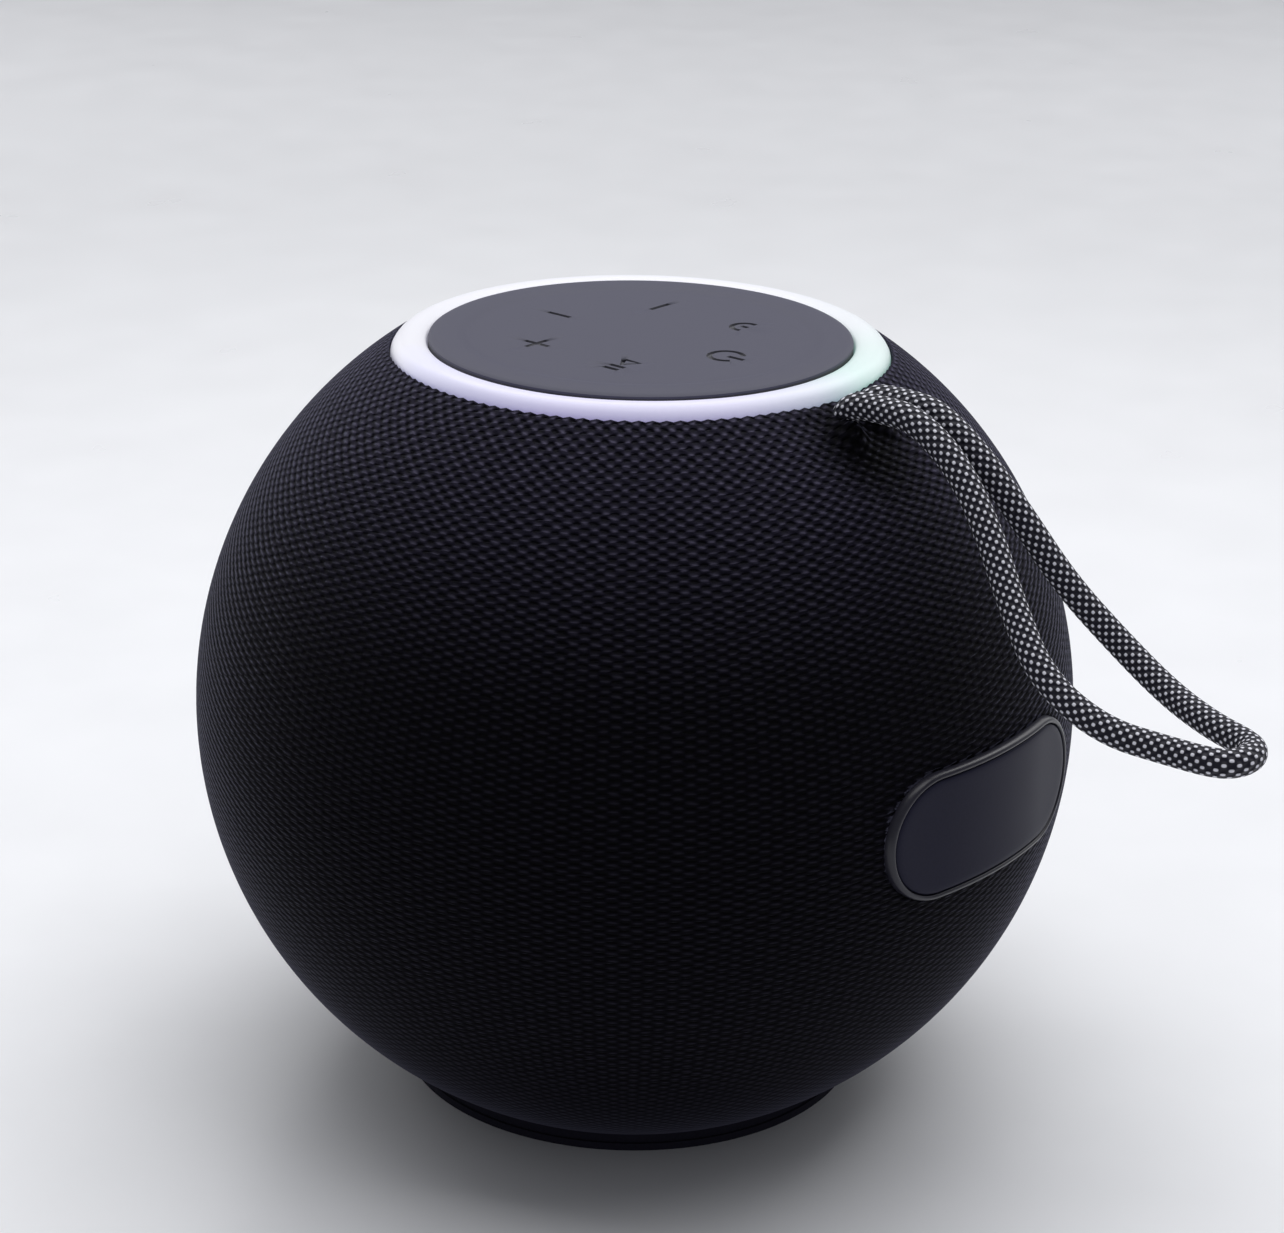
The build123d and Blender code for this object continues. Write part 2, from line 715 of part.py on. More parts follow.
flange_back = flange_front - driver_flange_t
basket_in = basket_r - basket_ledge_w
with BuildPart() as driver_frame:
    with BuildSketch(driver_section):
        with BuildLine():
            Polyline(
                (coil_out + run_gap + 1, basket_low),
                (basket_r, basket_low),
                (basket_r, ledge_y - driver_wall),
                (basket_r + driver_wall, ledge_y),
                (driver_hole_r + driver_wall, flange_back),
                (driver_r, flange_back),
                (driver_r, flange_front),
                (driver_hole_r, flange_front),
                (driver_hole_r, flange_back),
                (basket_r, ledge_y),
                (basket_in, ledge_y),
                (basket_in, basket_low + basket_back_t),
                (coil_out + run_gap + 1, basket_low + basket_back_t),
                close=True,
            )
        make_face()
    revolve(axis=driver_axis)
    with BuildSketch(front_plane.offset(ledge_y + driver_wall)):
        with PolarLocations((basket_r + driver_hole_r) / 2 + driver_wall / 2, basket_window_count):
            Circle(basket_window_r)
    extrude(amount=flange_back - ledge_y - 2 * driver_wall, mode=Mode.SUBTRACT)
    with BuildSketch(front_plane.offset(flange_back)):
        with PolarLocations(driver_screw_at, 4, start_angle=45):
            Circle(clear_r)
    extrude(amount=driver_flange_t, mode=Mode.SUBTRACT)
    with BuildSketch(front_plane.offset(basket_low)):
        with Locations((0, basket_r + tab_h / 2 - basket_back_t / 2)):
            Rectangle(tab_w, tab_h + basket_back_t)
    extrude(amount=basket_back_t)

with BuildPart() as top_plate:
    with BuildSketch(front_plane.offset(plate_low)):
        Circle(basket_r)
        Circle(coil_out + run_gap, mode=Mode.SUBTRACT)
    extrude(amount=top_plate_t)

with BuildPart() as magnet:
    with BuildSketch(front_plane.offset(magnet_low)):
        Circle(magnet_r)
        Circle(magnet_hole_r, mode=Mode.SUBTRACT)
    extrude(amount=magnet_t)

with BuildPart() as yoke:
    with BuildSketch(front_plane.offset(magnet_low - yoke_t)):
        Circle(basket_r)
    extrude(amount=yoke_t)
    with BuildSketch(front_plane.offset(magnet_low)):
        Circle(pole_r)
    extrude(amount=magnet_t + top_plate_t)

with BuildPart() as voice_coil:
    with BuildSketch(front_plane.offset(basket_low - coil_dip)):
        Circle(coil_out)
        Circle(coil_in, mode=Mode.SUBTRACT)
    extrude(amount=neck_y - basket_low + coil_dip)

with BuildPart() as driver_cone:
    with BuildSketch(driver_section):
        with BuildLine():
            Polyline(
                (coil_out, neck_y - cone_t),
                (cone_r, flange_front - cone_t),
                (cone_r, flange_front),
                (coil_out, neck_y),
                close=True,
            )
        make_face()
    revolve(axis=driver_axis)

# Dome over the coil, part of a thin ball
cap_low = neck_y + (dust_cap_r - coil_out) * cone_depth / (cone_r - coil_out)
cap_ball_r = (dust_cap_r**2 + dust_cap_rise**2) / (2 * dust_cap_rise)
with BuildPart() as dust_cap:
    with Locations((0, -(cap_low + dust_cap_rise - cap_ball_r), ball_z)):
        Sphere(cap_ball_r)
        Sphere(cap_ball_r - roll_t, mode=Mode.SUBTRACT)
    with BuildSketch(front_plane.offset(cap_low)):
        Circle(dust_cap_r)
    extrude(amount=2 * dust_cap_rise, mode=Mode.INTERSECT)

# Half roll between the cone and the frame, with a flat lip on each side
roll_in = cone_r + fit_gap
roll_out = driver_hole_r - fit_gap
roll_r = (roll_out - roll_in) / 2
with BuildPart() as driver_surround:
    with BuildSketch(driver_section):
        with Locations((roll_in + roll_r, flange_front)):
            Circle(roll_r)
            Circle(roll_r - roll_t, mode=Mode.SUBTRACT)
        with Locations((roll_in + roll_r, flange_front - roll_r)):
            Rectangle(2 * roll_r, 2 * roll_r, mode=Mode.SUBTRACT)
        with Locations((cone_r - roll_lip / 2, flange_front + roll_t / 2)):
            Rectangle(roll_lip + 2 * (roll_in - cone_r) + roll_t, roll_t)
        with Locations((driver_hole_r + roll_lip / 2, flange_front + roll_t / 2)):
            Rectangle(roll_lip + 2 * (driver_hole_r - roll_out) + roll_t, roll_t)
    revolve(axis=driver_axis)

with BuildPart() as driver_spider:
    with BuildSketch(front_plane.offset(ledge_y)):
        Circle(basket_r - thread_gap)
        Circle(coil_out + thread_gap, mode=Mode.SUBTRACT)
    extrude(amount=roll_t)

with BuildPart() as driver_screws:
    with BuildSketch(front_plane.offset(flange_front)):
        with PolarLocations(driver_screw_at, 4, start_angle=45):
            Circle(head_r)
    extrude(amount=head_h)
    with BuildSketch(front_plane.offset(flange_front)):
        with PolarLocations(driver_screw_at, 4, start_angle=45):
            Circle(screw_r)
    extrude(amount=-(driver_flange_t + driver_gasket_t + baffle_t - fit_gap))

# ---------------------------------------------------------------- passive radiator
with BuildPart() as radiator_frame:
    with BuildSketch(radiator_plane.offset(radiator_at)):
        Circle(radiator_r)
        Circle(radiator_inner_r, mode=Mode.SUBTRACT)
        with PolarLocations(radiator_screw_at, 4, start_angle=45):
            Circle(clear_r, mode=Mode.SUBTRACT)
    extrude(amount=radiator_t)

with BuildPart() as radiator_plate:
    with BuildSketch(radiator_plane.offset(radiator_front - radiator_plate_t)):
        Circle(radiator_plate_r)
    extrude(amount=radiator_plate_t)
    with BuildSketch(radiator_plane.offset(radiator_front - radiator_plate_t)):
        Circle(radiator_weight_r)
    extrude(amount=-radiator_weight_t)

radiator_roll_r = (radiator_inner_r - radiator_plate_r) / 2
with BuildPart() as radiator_surround:
    with BuildSketch(radiator_section):
        with Locations((radiator_plate_r + radiator_roll_r, radiator_front)):
            Circle(radiator_roll_r)
            Circle(radiator_roll_r - roll_t, mode=Mode.SUBTRACT)
        with Locations((radiator_plate_r + radiator_roll_r, radiator_front - radiator_roll_r)):
            Rectangle(2 * radiator_roll_r, 2 * radiator_roll_r, mode=Mode.SUBTRACT)
        with Locations(
            (radiator_plate_r, radiator_front + roll_t / 2),
            (radiator_inner_r, radiator_front + roll_t / 2),
        ):
            Rectangle(2 * roll_t, roll_t)
    revolve(axis=radiator_axis)

with BuildPart() as radiator_screws:
    with BuildSketch(radiator_plane.offset(radiator_front)):
        with PolarLocations(radiator_screw_at, 4, start_angle=45):
            Circle(head_r)
    extrude(amount=head_h)
    with BuildSketch(radiator_plane.offset(radiator_front)):
        with PolarLocations(radiator_screw_at, 4, start_angle=45):
            Circle(screw_r)
    extrude(amount=-(radiator_t + well_flange_t - fit_gap))

# ---------------------------------------------------------------- port bay
with BuildPart() as port_bezel:
    with BuildSketch(port_plane.offset(tray_y)):
        SlotOverall(bezel_w, bezel_h)
        SlotOverall(bezel_w - 2 * bezel_rim, bezel_h - 2 * bezel_rim, mode=Mode.SUBTRACT)
    extrude(amount=2 * ball_r)
    with Locations((0, 0, ball_z)):
        Sphere(ball_r + bezel_proud, mode=Mode.INTERSECT)

usb_z = pcb_top + usb_h / 2
jack_z = pcb_top + jack_h / 2
card_z = pcb_top + card_h / 2
with BuildPart() as port_tray:
    with BuildSketch(port_plane.offset(tray_back)):
        SlotOverall(tray_w, tray_h)
    extrude(amount=tray_t)
    with BuildSketch(Plane.XY.offset(rail_low)):
        with GridLocations(2 * pcb_screw_x, 0, 2, 1):
            with Locations((0, (pcb_y - pcb_l / 2 + tray_back) / 2)):
                Rectangle(pcb_rail_w, tray_back - pcb_y + pcb_l / 2)
    extrude(amount=pcb_rail_h)
    with Locations((0, 0, ball_z)):
        Sphere(shell_in - fit_gap, mode=Mode.INTERSECT)
    with BuildSketch(Plane.XZ.offset(-tray_back)):
        with Locations((usb_x, usb_z)):
            SlotOverall(usb_w + 2 * fit_gap, usb_h + 2 * fit_gap)
        with Locations((jack_x, jack_z)):
            Circle(jack_nose_r + fit_gap)
        with Locations((card_x, card_z)):
            Rectangle(card_w + 2 * fit_gap, card_h + 2 * fit_gap)
    extrude(amount=-tray_t, mode=Mode.SUBTRACT)
    with BuildSketch(port_plane.offset(tray_back)):
        with GridLocations(2 * tray_screw_x, 2 * tray_screw_up, 2, 2):
            Circle(clear_r)
    extrude(amount=tray_t, mode=Mode.SUBTRACT)
    with BuildSketch(Plane.XY.offset(pcb_low)):
        with Locations((0, pcb_screw_y)):
            with GridLocations(2 * pcb_screw_x, pcb_screw_pitch, 2, 2):
                Circle(pilot_r)
    extrude(amount=-pcb_rail_h, mode=Mode.SUBTRACT)

# Four screws hold the tray to the shell, and four hold the board to the tray
with BuildPart() as tray_screws:
    with BuildSketch(port_plane.offset(tray_back)):
        with GridLocations(2 * tray_screw_x, 2 * tray_screw_up, 2, 2):
            Circle(head_r)
    extrude(amount=-head_h)
    with BuildSketch(port_plane.offset(tray_back)):
        with GridLocations(2 * tray_screw_x, 2 * tray_screw_up, 2, 2):
            Circle(screw_r)
    extrude(amount=tray_screw_l - fit_gap)
    with BuildSketch(Plane.XY.offset(pcb_top)):
        with Locations((0, pcb_screw_y)):
            with GridLocations(2 * pcb_screw_x, pcb_screw_pitch, 2, 2):
                Circle(head_r)
    extrude(amount=head_h)
    with BuildSketch(Plane.XY.offset(pcb_top)):
        with Locations((0, pcb_screw_y)):
            with GridLocations(2 * pcb_screw_x, pcb_screw_pitch, 2, 2):
                Circle(screw_r)
    extrude(amount=-(pcb_t + pcb_rail_h - fit_gap))

# Flap: a curved skin level with the bezel and a lip that plugs into it
with BuildPart() as flap_lip:
    with BuildSketch(port_plane):
        SlotOverall(flap_w - 2 * flap_lip_in, flap_h - 2 * flap_lip_in)
        lip_in = flap_lip_in + flap_lip_t
        SlotOverall(flap_w - 2 * lip_in, flap_h - 2 * lip_in, mode=Mode.SUBTRACT)
    extrude(amount=2 * ball_r)
    with Locations((0, 0, ball_z)):
        Sphere(flap_out - flap_t / 2, mode=Mode.INTERSECT)
        Sphere(flap_in - flap_lip_depth, mode=Mode.SUBTRACT)

with BuildPart() as port_flap:
    with BuildSketch(port_plane):
        SlotOverall(flap_w, flap_h)
    extrude(amount=2 * ball_r)
    with Locations((0, 0, ball_z)):
        Sphere(flap_out, mode=Mode.INTERSECT)
        Sphere(flap_in, mode=Mode.SUBTRACT)
    add(flap_lip.part)

# Thin strap that ties the flap to the tray beside the hinge line
strap_x = -(flap_w / 2 - flap_lip_in + bezel_w / 2 - bezel_rim) / 2
strap_top = rim(flap_in, strap_x - strap_t / 2) - thread_gap
with BuildPart() as flap_strap:
    with BuildSketch(Plane.XY.offset(port_z - strap_w / 2)):
        with Locations((strap_x, (tray_y + strap_top) / 2)):
            Rectangle(strap_t, strap_top - tray_y)
    extrude(amount=strap_w)

# ---------------------------------------------------------------- main board
with BuildPart() as main_board:
    with BuildSketch(Plane.XY.offset(pcb_low)):
        with Locations((0, pcb_y)):
            Rectangle(pcb_w, pcb_l)
        with Locations((0, pcb_screw_y)):
            with GridLocations(2 * pcb_screw_x, pcb_screw_pitch, 2, 2):
                Circle(clear_r, mode=Mode.SUBTRACT)
    extrude(amount=pcb_t)

with BuildPart() as board_chips:
    with BuildSketch(Plane.XY.offset(pcb_top)):
        for x, y, side in chips:
            with Locations((x, pcb_y + y)):
                Rectangle(side, side)
    extrude(amount=chip_h)

with BuildPart() as radio_module:
    with BuildSketch(Plane.XY.offset(pcb_top)):
        with Locations((radio_x, pcb_y)):
            Rectangle(radio_w, radio_l)
    extrude(amount=radio_h)

with BuildPart() as capacitors:
    with BuildSketch(Plane.XY.offset(pcb_top)):
        with Locations(*[(x, pcb_y + y) for x, y in cap_spots]):
            Circle(cap_r)
    extrude(amount=cap_h)

with BuildPart() as board_sockets:
    with BuildSketch(Plane.XY.offset(pcb_top)):
        with Locations((speaker_socket_x, plug_y), (battery_socket_x, plug_y)):
            Rectangle(plug_w, plug_l)
    extrude(amount=plug_h)
    with BuildSketch(Plane.XY.offset(pcb_top)):
        with Locations((ribbon_x, plug_y)):
            Rectangle(ribbon_w + 8 * fit_gap, plug_l)
    extrude(amount=ribbon_plug_h)

with BuildPart() as usb_c_port:
    with BuildSketch(Plane.XZ.offset(-socket_y)):
        with Locations((usb_x, usb_z)):
            SlotOverall(usb_w, usb_h)
    extrude(amount=usb_l)
    with BuildSketch(Plane.XZ.offset(-socket_y)):
        with Locations((usb_x, usb_z)):
            SlotOverall(usb_w - 2 * usb_wall, usb_h - 2 * usb_wall)
            Rectangle(usb_w - 2 * usb_h / 3, usb_tongue_t, mode=Mode.SUBTRACT)
    extrude(amount=usb_l - 3 * usb_wall, mode=Mode.SUBTRACT)

with BuildPart() as audio_jack:
    with BuildSketch(Plane.XZ.offset(-pcb_front)):
        with Locations((jack_x, jack_z)):
            Rectangle(jack_w, jack_h)
    extrude(amount=jack_l)
    with BuildSketch(Plane.XZ.offset(-pcb_front)):
        with Locations((jack_x, jack_z)):
            Circle(jack_nose_r)
    extrude(amount=pcb_front - socket_y)
    with BuildSketch(Plane.XZ.offset(-socket_y)):
        with Locations((jack_x, jack_z)):
            Circle(jack_bore_r)
    extrude(amount=jack_bore_l, mode=Mode.SUBTRACT)

with BuildPart() as card_slot:
    with BuildSketch(Plane.XZ.offset(-socket_y)):
        with Locations((card_x, card_z)):
            Rectangle(card_w, card_h)
    extrude(amount=card_l)
    with BuildSketch(Plane.XZ.offset(-socket_y)):
        with Locations((card_x, card_z)):
            Rectangle(card_slot_w, card_slot_h)
    extrude(amount=card_l - card_slot_h, mode=Mode.SUBTRACT)

# ---------------------------------------------------------------- battery
cradle_top = floor_top + cradle_t
cell_z = cradle_top + cell_lift + cell_r
saddle_h = cell_z - saddle_drop - cradle_top
with BuildPart() as battery_cradle:
    with BuildSketch(Plane.XY.offset(floor_top)):
        with Locations((0, cell_y)):
            Rectangle(cradle_l, cradle_w)
    extrude(amount=cradle_t)
    with BuildSketch(Plane.XY.offset(cradle_top)):
        with Locations((-saddle_x, cell_y), (saddle_x, cell_y)):
            Rectangle(saddle_t, cradle_w)
    extrude(amount=saddle_h)
    with BuildSketch(Plane.YZ.offset(-cradle_l)):
        with Locations((cell_y, cell_z)):
            Circle(cell_r + thread_gap)
    extrude(amount=2 * cradle_l, mode=Mode.SUBTRACT)

with BuildPart() as battery_cell:
    with BuildSketch(Plane.YZ.offset(-cell_l / 2)):
        with Locations((cell_y, cell_z)):
            Circle(cell_r)
    extrude(amount=cell_l)
    with BuildSketch(Plane.YZ.offset(cell_l / 2)):
        with Locations((cell_y, cell_z)):
            Circle(cell_nub_r)
    extrude(amount=cell_nub_l)

band_r = cell_r + fit_gap / 2
with BuildPart() as battery_strap:
    with BuildSketch(Plane.YZ.offset(-strap_band_w / 2)):
        with Locations((cell_y, cell_z)):
            Circle(band_r + strap_band_t)
        with Locations((cell_y, (cell_z + cradle_top) / 2)):
            Rectangle(2 * (band_r + strap_band_t), cell_z - cradle_top)
            Rectangle(2 * band_r, cell_z - cradle_top, mode=Mode.SUBTRACT)
        with Locations((cell_y, cell_z)):
            Circle(band_r, mode=Mode.SUBTRACT)
    extrude(amount=strap_band_w)

# ---------------------------------------------------------------- rope
with BuildPart() as rope_anchor:
    with BuildSketch(Plane.XY.offset(anchor_top)):
        with Locations((0, rope_exit_y)):
            Rectangle(anchor_w, anchor_l)
    extrude(amount=-anchor_t)
    with BuildSketch(Plane.XY.offset(anchor_top)):
        with Locations((-rope_x, rope_exit_y), (rope_x, rope_exit_y)):
            Circle(rope_r + fit_gap / 2)
    extrude(amount=-anchor_socket, mode=Mode.SUBTRACT)
    with BuildSketch(Plane.XY.offset(anchor_top)):
        with Locations((anchor_screw_x, rope_exit_y), (-anchor_screw_x, rope_exit_y)):
            Circle(clear_r)
    extrude(amount=-anchor_t, mode=Mode.SUBTRACT)

with BuildPart() as anchor_screws:
    with BuildSketch(Plane.XY.offset(anchor_top - anchor_t)):
        with Locations((anchor_screw_x, rope_exit_y), (-anchor_screw_x, rope_exit_y)):
            Circle(head_r)
    extrude(amount=-head_h)
    with BuildSketch(Plane.XY.offset(anchor_top - anchor_t)):
        with Locations((anchor_screw_x, rope_exit_y), (-anchor_screw_x, rope_exit_y)):
            Circle(screw_r)
    extrude(amount=anchor_t + 3 * screw_r - fit_gap)


def bend_radii(points):
    """Largest arc that each corner of a route has room for."""
    radii = []
    for before, corner, after in zip(points, points[1:], points[2:]):
        run_in = Vector(*corner) - Vector(*before)
        run_out = Vector(*after) - Vector(*corner)
        half_turn = radians(run_in.get_angle(run_out)) / 2
        radii.append(0.45 * min(run_in.length, run_out.length) / tan(half_turn))
    return radii


def tube(points, radius, name):
    """Round tube along straight runs joined by arcs."""
    radii = bend_radii(points)
    with BuildPart() as made:
        with BuildLine() as route:
            FilletPolyline(*points, radius=radii)
        with BuildSketch(Plane(origin=points[0], z_dir=Vector(*points[1]) - Vector(*points[0]))):
            Circle(radius)
        sweep(path=route.wires()[0])
    length = route.wires()[0].length
    print(name, "length", round(length, 1), "radii", [round(value, 1) for value in radii])
    print(name, "volume", round(made.part.volume, 2), "of", round(pi * radius**2 * length, 2))
    return made


rope_strand = [(rope_x, rope_exit_y, anchor_top - anchor_socket)]
rope_strand += [(x, rope_exit_y + y, edge_z + z) for x, y, z in rope_side]
rope_route = rope_strand + [(-x, y, z) for x, y, z in reversed(rope_strand)]
rope_loop = tube(rope_route, rope_r, "rope_loop")

# ---------------------------------------------------------------- leads
tab_z = ball_z + basket_r + tab_h - lead_r - fit_gap
lead_y = plug_y - plug_l / 2
lead_z = pcb_top + plug_h / 2
speaker_lead = tube(
    [
        (0, -basket_low, tab_z),
        (0, -basket_low + 5.5, tab_z),
        (-1, -magnet_low + 3, tab_z + 0.5),
        (speaker_socket_x + 1.5, -9.5, tab_z - 3.5),
        (speaker_socket_x + 0.5, -1.5, lead_z + 6.5),
        (speaker_socket_x, lead_y - 7.5, lead_z),
        (speaker_socket_x, lead_y, lead_z),
    ],
    lead_r,
    "speaker_lead",
)
cell_top = cell_z + cell_r
battery_lead = tube(
    [
        (battery_lead_x, cell_y, cell_top),
        (battery_lead_x, cell_y, cell_top + 6),
        (battery_lead_x - 1, cell_y + 2.5, cell_top + 13.5),
        (battery_lead_x - 3.5, cell_y + 5, cell_top + 21.5),
        (battery_socket_x + 4, cell_y + 7.5, lead_z - 3.6),
        (battery_socket_x, lead_y - 6, lead_z),
        (battery_socket_x, lead_y, lead_z),
    ],
    lead_r,
    "battery_lead",
)

# Flat ribbon from the button board's underside to its socket on the main board
ribbon_end = pcb_top + ribbon_plug_h
ribbon_points = [
    (ribbon_x, 0, deck_top),
    (ribbon_x, 0, deck_top - 10),
    (ribbon_x, 4, deck_top - 20),
    (ribbon_x, 12, ribbon_end + 15),
    (ribbon_x, plug_y, ribbon_end + 7),
    (ribbon_x, plug_y, ribbon_end),
]
with BuildPart() as button_ribbon:
    with BuildLine() as ribbon_route:
        FilletPolyline(*ribbon_points, radius=bend_radii(ribbon_points))
    with BuildSketch(Plane(origin=ribbon_points[0], x_dir=(1, 0, 0), z_dir=(0, 0, -1))):
        Rectangle(ribbon_w, ribbon_t)
    sweep(path=ribbon_route.wires()[0])

# ---------------------------------------------------------------- files
pieces = {
    "front_shell": front_shell,
    "rear_shell": rear_shell,
    "seam_gasket": seam_gasket,
    "seam_screws": seam_screws,
    "knitted_cover": knitted_cover,
    "base_foot": base_foot,
    "base_plate": base_plate,
    "base_screws": base_screws,
    "top_deck": top_deck,
    "deck_screws": deck_screws,
    "button_board": button_board,
    "key_switches": key_switches,
    "microphone": microphone,
    "light_ring": light_ring,
    "led_board": led_board,
    "leds": leds,
    "control_pad": control_pad,
    **keys,
    "driver_gasket": driver_gasket,
    "driver_frame": driver_frame,
    "top_plate": top_plate,
    "magnet": magnet,
    "yoke": yoke,
    "voice_coil": voice_coil,
    "driver_cone": driver_cone,
    "dust_cap": dust_cap,
    "driver_surround": driver_surround,
    "driver_spider": driver_spider,
    "driver_screws": driver_screws,
    "radiator_frame": radiator_frame,
    "radiator_plate": radiator_plate,
    "radiator_surround": radiator_surround,
    "radiator_screws": radiator_screws,
    "port_bezel": port_bezel,
    "port_tray": port_tray,
    "tray_screws": tray_screws,
    "port_flap": port_flap,
    "flap_strap": flap_strap,
    "main_board": main_board,
    "board_chips": board_chips,
    "radio_module": radio_module,
    "capacitors": capacitors,
    "board_sockets": board_sockets,
    "usb_c_port": usb_c_port,
    "audio_jack": audio_jack,
    "card_slot": card_slot,
    "battery_cradle": battery_cradle,
    "battery_cell": battery_cell,
    "battery_strap": battery_strap,
    "rope_anchor": rope_anchor,
    "anchor_screws": anchor_screws,
    "rope_loop": rope_loop,
    "speaker_lead": speaker_lead,
    "battery_lead": battery_lead,
    "button_ribbon": button_ribbon,
}
for label, piece in pieces.items():
    piece.part.label = label
    export_step(piece.part, f"parts/{label}.step")
print(len(pieces), "pieces")
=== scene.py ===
# %% [markdown]
# # A round wireless speaker with a light ring and a carry loop
# The real speaker is a two-part plastic ball in a stretched knitted sleeve. A lit ring and a soft
# key pad close the top, a rubber flap covers the sockets at the back, and a braided rope makes a
# loop. The inner parts arrive ready shaped, so this lesson builds what the eye meets first: knit,
# ring, pad, flap and rope. Then it gives every other part its own finish.

# %% Tools and the ready-made parts
import json
import math

import bmesh
import bpy
from mathutils import Matrix, Vector

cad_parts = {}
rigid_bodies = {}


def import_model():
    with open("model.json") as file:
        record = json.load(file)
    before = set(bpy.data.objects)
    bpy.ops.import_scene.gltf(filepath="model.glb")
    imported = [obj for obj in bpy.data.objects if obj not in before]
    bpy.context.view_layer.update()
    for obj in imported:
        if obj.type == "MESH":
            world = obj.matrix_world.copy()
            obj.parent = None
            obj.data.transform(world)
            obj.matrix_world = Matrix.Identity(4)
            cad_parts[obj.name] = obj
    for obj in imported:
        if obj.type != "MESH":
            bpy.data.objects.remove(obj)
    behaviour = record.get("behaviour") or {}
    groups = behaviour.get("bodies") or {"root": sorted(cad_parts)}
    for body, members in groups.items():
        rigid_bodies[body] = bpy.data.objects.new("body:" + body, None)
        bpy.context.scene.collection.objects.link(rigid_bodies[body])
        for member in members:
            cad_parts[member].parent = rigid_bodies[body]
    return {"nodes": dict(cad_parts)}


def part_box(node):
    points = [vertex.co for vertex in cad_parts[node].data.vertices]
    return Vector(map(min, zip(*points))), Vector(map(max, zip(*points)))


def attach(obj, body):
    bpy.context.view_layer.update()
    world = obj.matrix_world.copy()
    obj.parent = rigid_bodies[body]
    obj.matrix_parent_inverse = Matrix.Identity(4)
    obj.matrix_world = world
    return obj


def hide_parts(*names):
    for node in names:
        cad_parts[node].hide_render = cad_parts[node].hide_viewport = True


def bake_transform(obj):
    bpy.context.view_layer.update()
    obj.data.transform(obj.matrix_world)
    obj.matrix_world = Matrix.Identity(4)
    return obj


for spare in list(bpy.data.objects):
    bpy.data.objects.remove(spare)
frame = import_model()
bpy.context.view_layer.update()

# %% [markdown]
# ## Sizes
# Lengths are thought of in millimetres and kept in metres. The ball's radius and middle come from
# the sleeve's own box, and the ring, pad and port from theirs, so that new pieces land on the old.

# %% Sizes of the ball, ring, pad and port
MM = 0.001
sleeve_low, sleeve_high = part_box("knitted_cover")
ring_low, ring_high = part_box("light_ring")
pad_low, pad_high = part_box("control_pad")
bezel_low, bezel_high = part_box("port_bezel")
flap_low, flap_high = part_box("port_flap")

sleeve_t = 0.8 * MM
mouth_gap = 0.2 * MM
ball_r = -sleeve_low.x
ring_r = ring_high.x
mouth_r = ring_r + mouth_gap
ball_z = sleeve_high.z - math.sqrt(ball_r**2 - mouth_r**2)
edge_z = ball_z + math.sqrt(ball_r**2 - ring_r**2)
pad_z = pad_high.z
port_z = (bezel_low.z + bezel_high.z) / 2
bezel_w = bezel_high.x - bezel_low.x
bezel_h = bezel_high.z - bezel_low.z
flap_w = flap_high.x - flap_low.x
flap_h = flap_high.z - flap_low.z
print("ball radius", ball_r, "middle", ball_z, "port", port_z, "bezel", bezel_w, bezel_h)

# %% [markdown]
# ## Camera
# A product shot of a palm-sized ball is taken with a long lens, close to eye level of a person who
# bends over the table. The camera is aimed at the ball's middle first. Then three small turns, pan,
# tilt and roll, move the ball to its place in the picture.

# %% Camera behind the right shoulder of the speaker
view_azimuth, view_elevation = math.radians(130), 0.392755
pan, tilt, roll = 0.0019160, 0.0256455, -0.0169606
camera_distance = 0.441
focal_length, sensor_width = 85.18, 36
away = Vector(
    (
        math.sin(view_azimuth) * math.cos(view_elevation),
        -math.cos(view_azimuth) * math.cos(view_elevation),
        math.sin(view_elevation),
    )
)
side = Vector((math.cos(view_azimuth), math.sin(view_azimuth), 0))
axes = (
    Matrix.Rotation(roll, 3, "Z")
    @ Matrix.Rotation(tilt, 3, "X")
    @ Matrix.Rotation(-pan, 3, "Y")
    @ Matrix((side, side.cross(-away), -away))
)
lens = bpy.data.cameras.new("camera")
lens.sensor_width = sensor_width
lens.lens = focal_length
lens.clip_start = 0.01
lens.clip_end = 20
camera = bpy.data.objects.new("camera", lens)
bpy.context.scene.collection.objects.link(camera)
turned = Matrix((axes[0], axes[1], -axes[2])).transposed().to_4x4()
stand = Vector((0, 0, ball_z)) + camera_distance * away
camera.matrix_world = Matrix.Translation(stand) @ turned
bpy.context.scene.camera = camera
print("camera at", camera.matrix_world.translation)

# %% [markdown]
# ## Helpers for meshes
# Each new piece starts as a bmesh and becomes an object at the origin; most of them ride on one of
# the moving bodies. Smooth shading with sharp edges by angle keeps round walls round and rims
# crisp.

# %% Helpers that turn a bmesh into a piece
weld = 1e-7


def add_piece(name, mesh_in_work, finish_used, body, sharp=35):
    """Writes the bmesh to a new object, gives it a finish and lets it ride on a body."""
    bmesh.ops.recalc_face_normals(mesh_in_work, faces=mesh_in_work.faces)
    mesh = bpy.data.meshes.new(name)
    mesh_in_work.to_mesh(mesh)
    mesh_in_work.free()
    mesh.shade_smooth()
    mesh.set_sharp_from_angle(angle=math.radians(sharp))
    mesh.materials.append(finish_used)
    piece = bpy.data.objects.new(name, mesh)
    bpy.context.scene.collection.objects.link(piece)
    if body:
        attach(piece, body)
    print(name, "faces", len(mesh.polygons))
    return piece


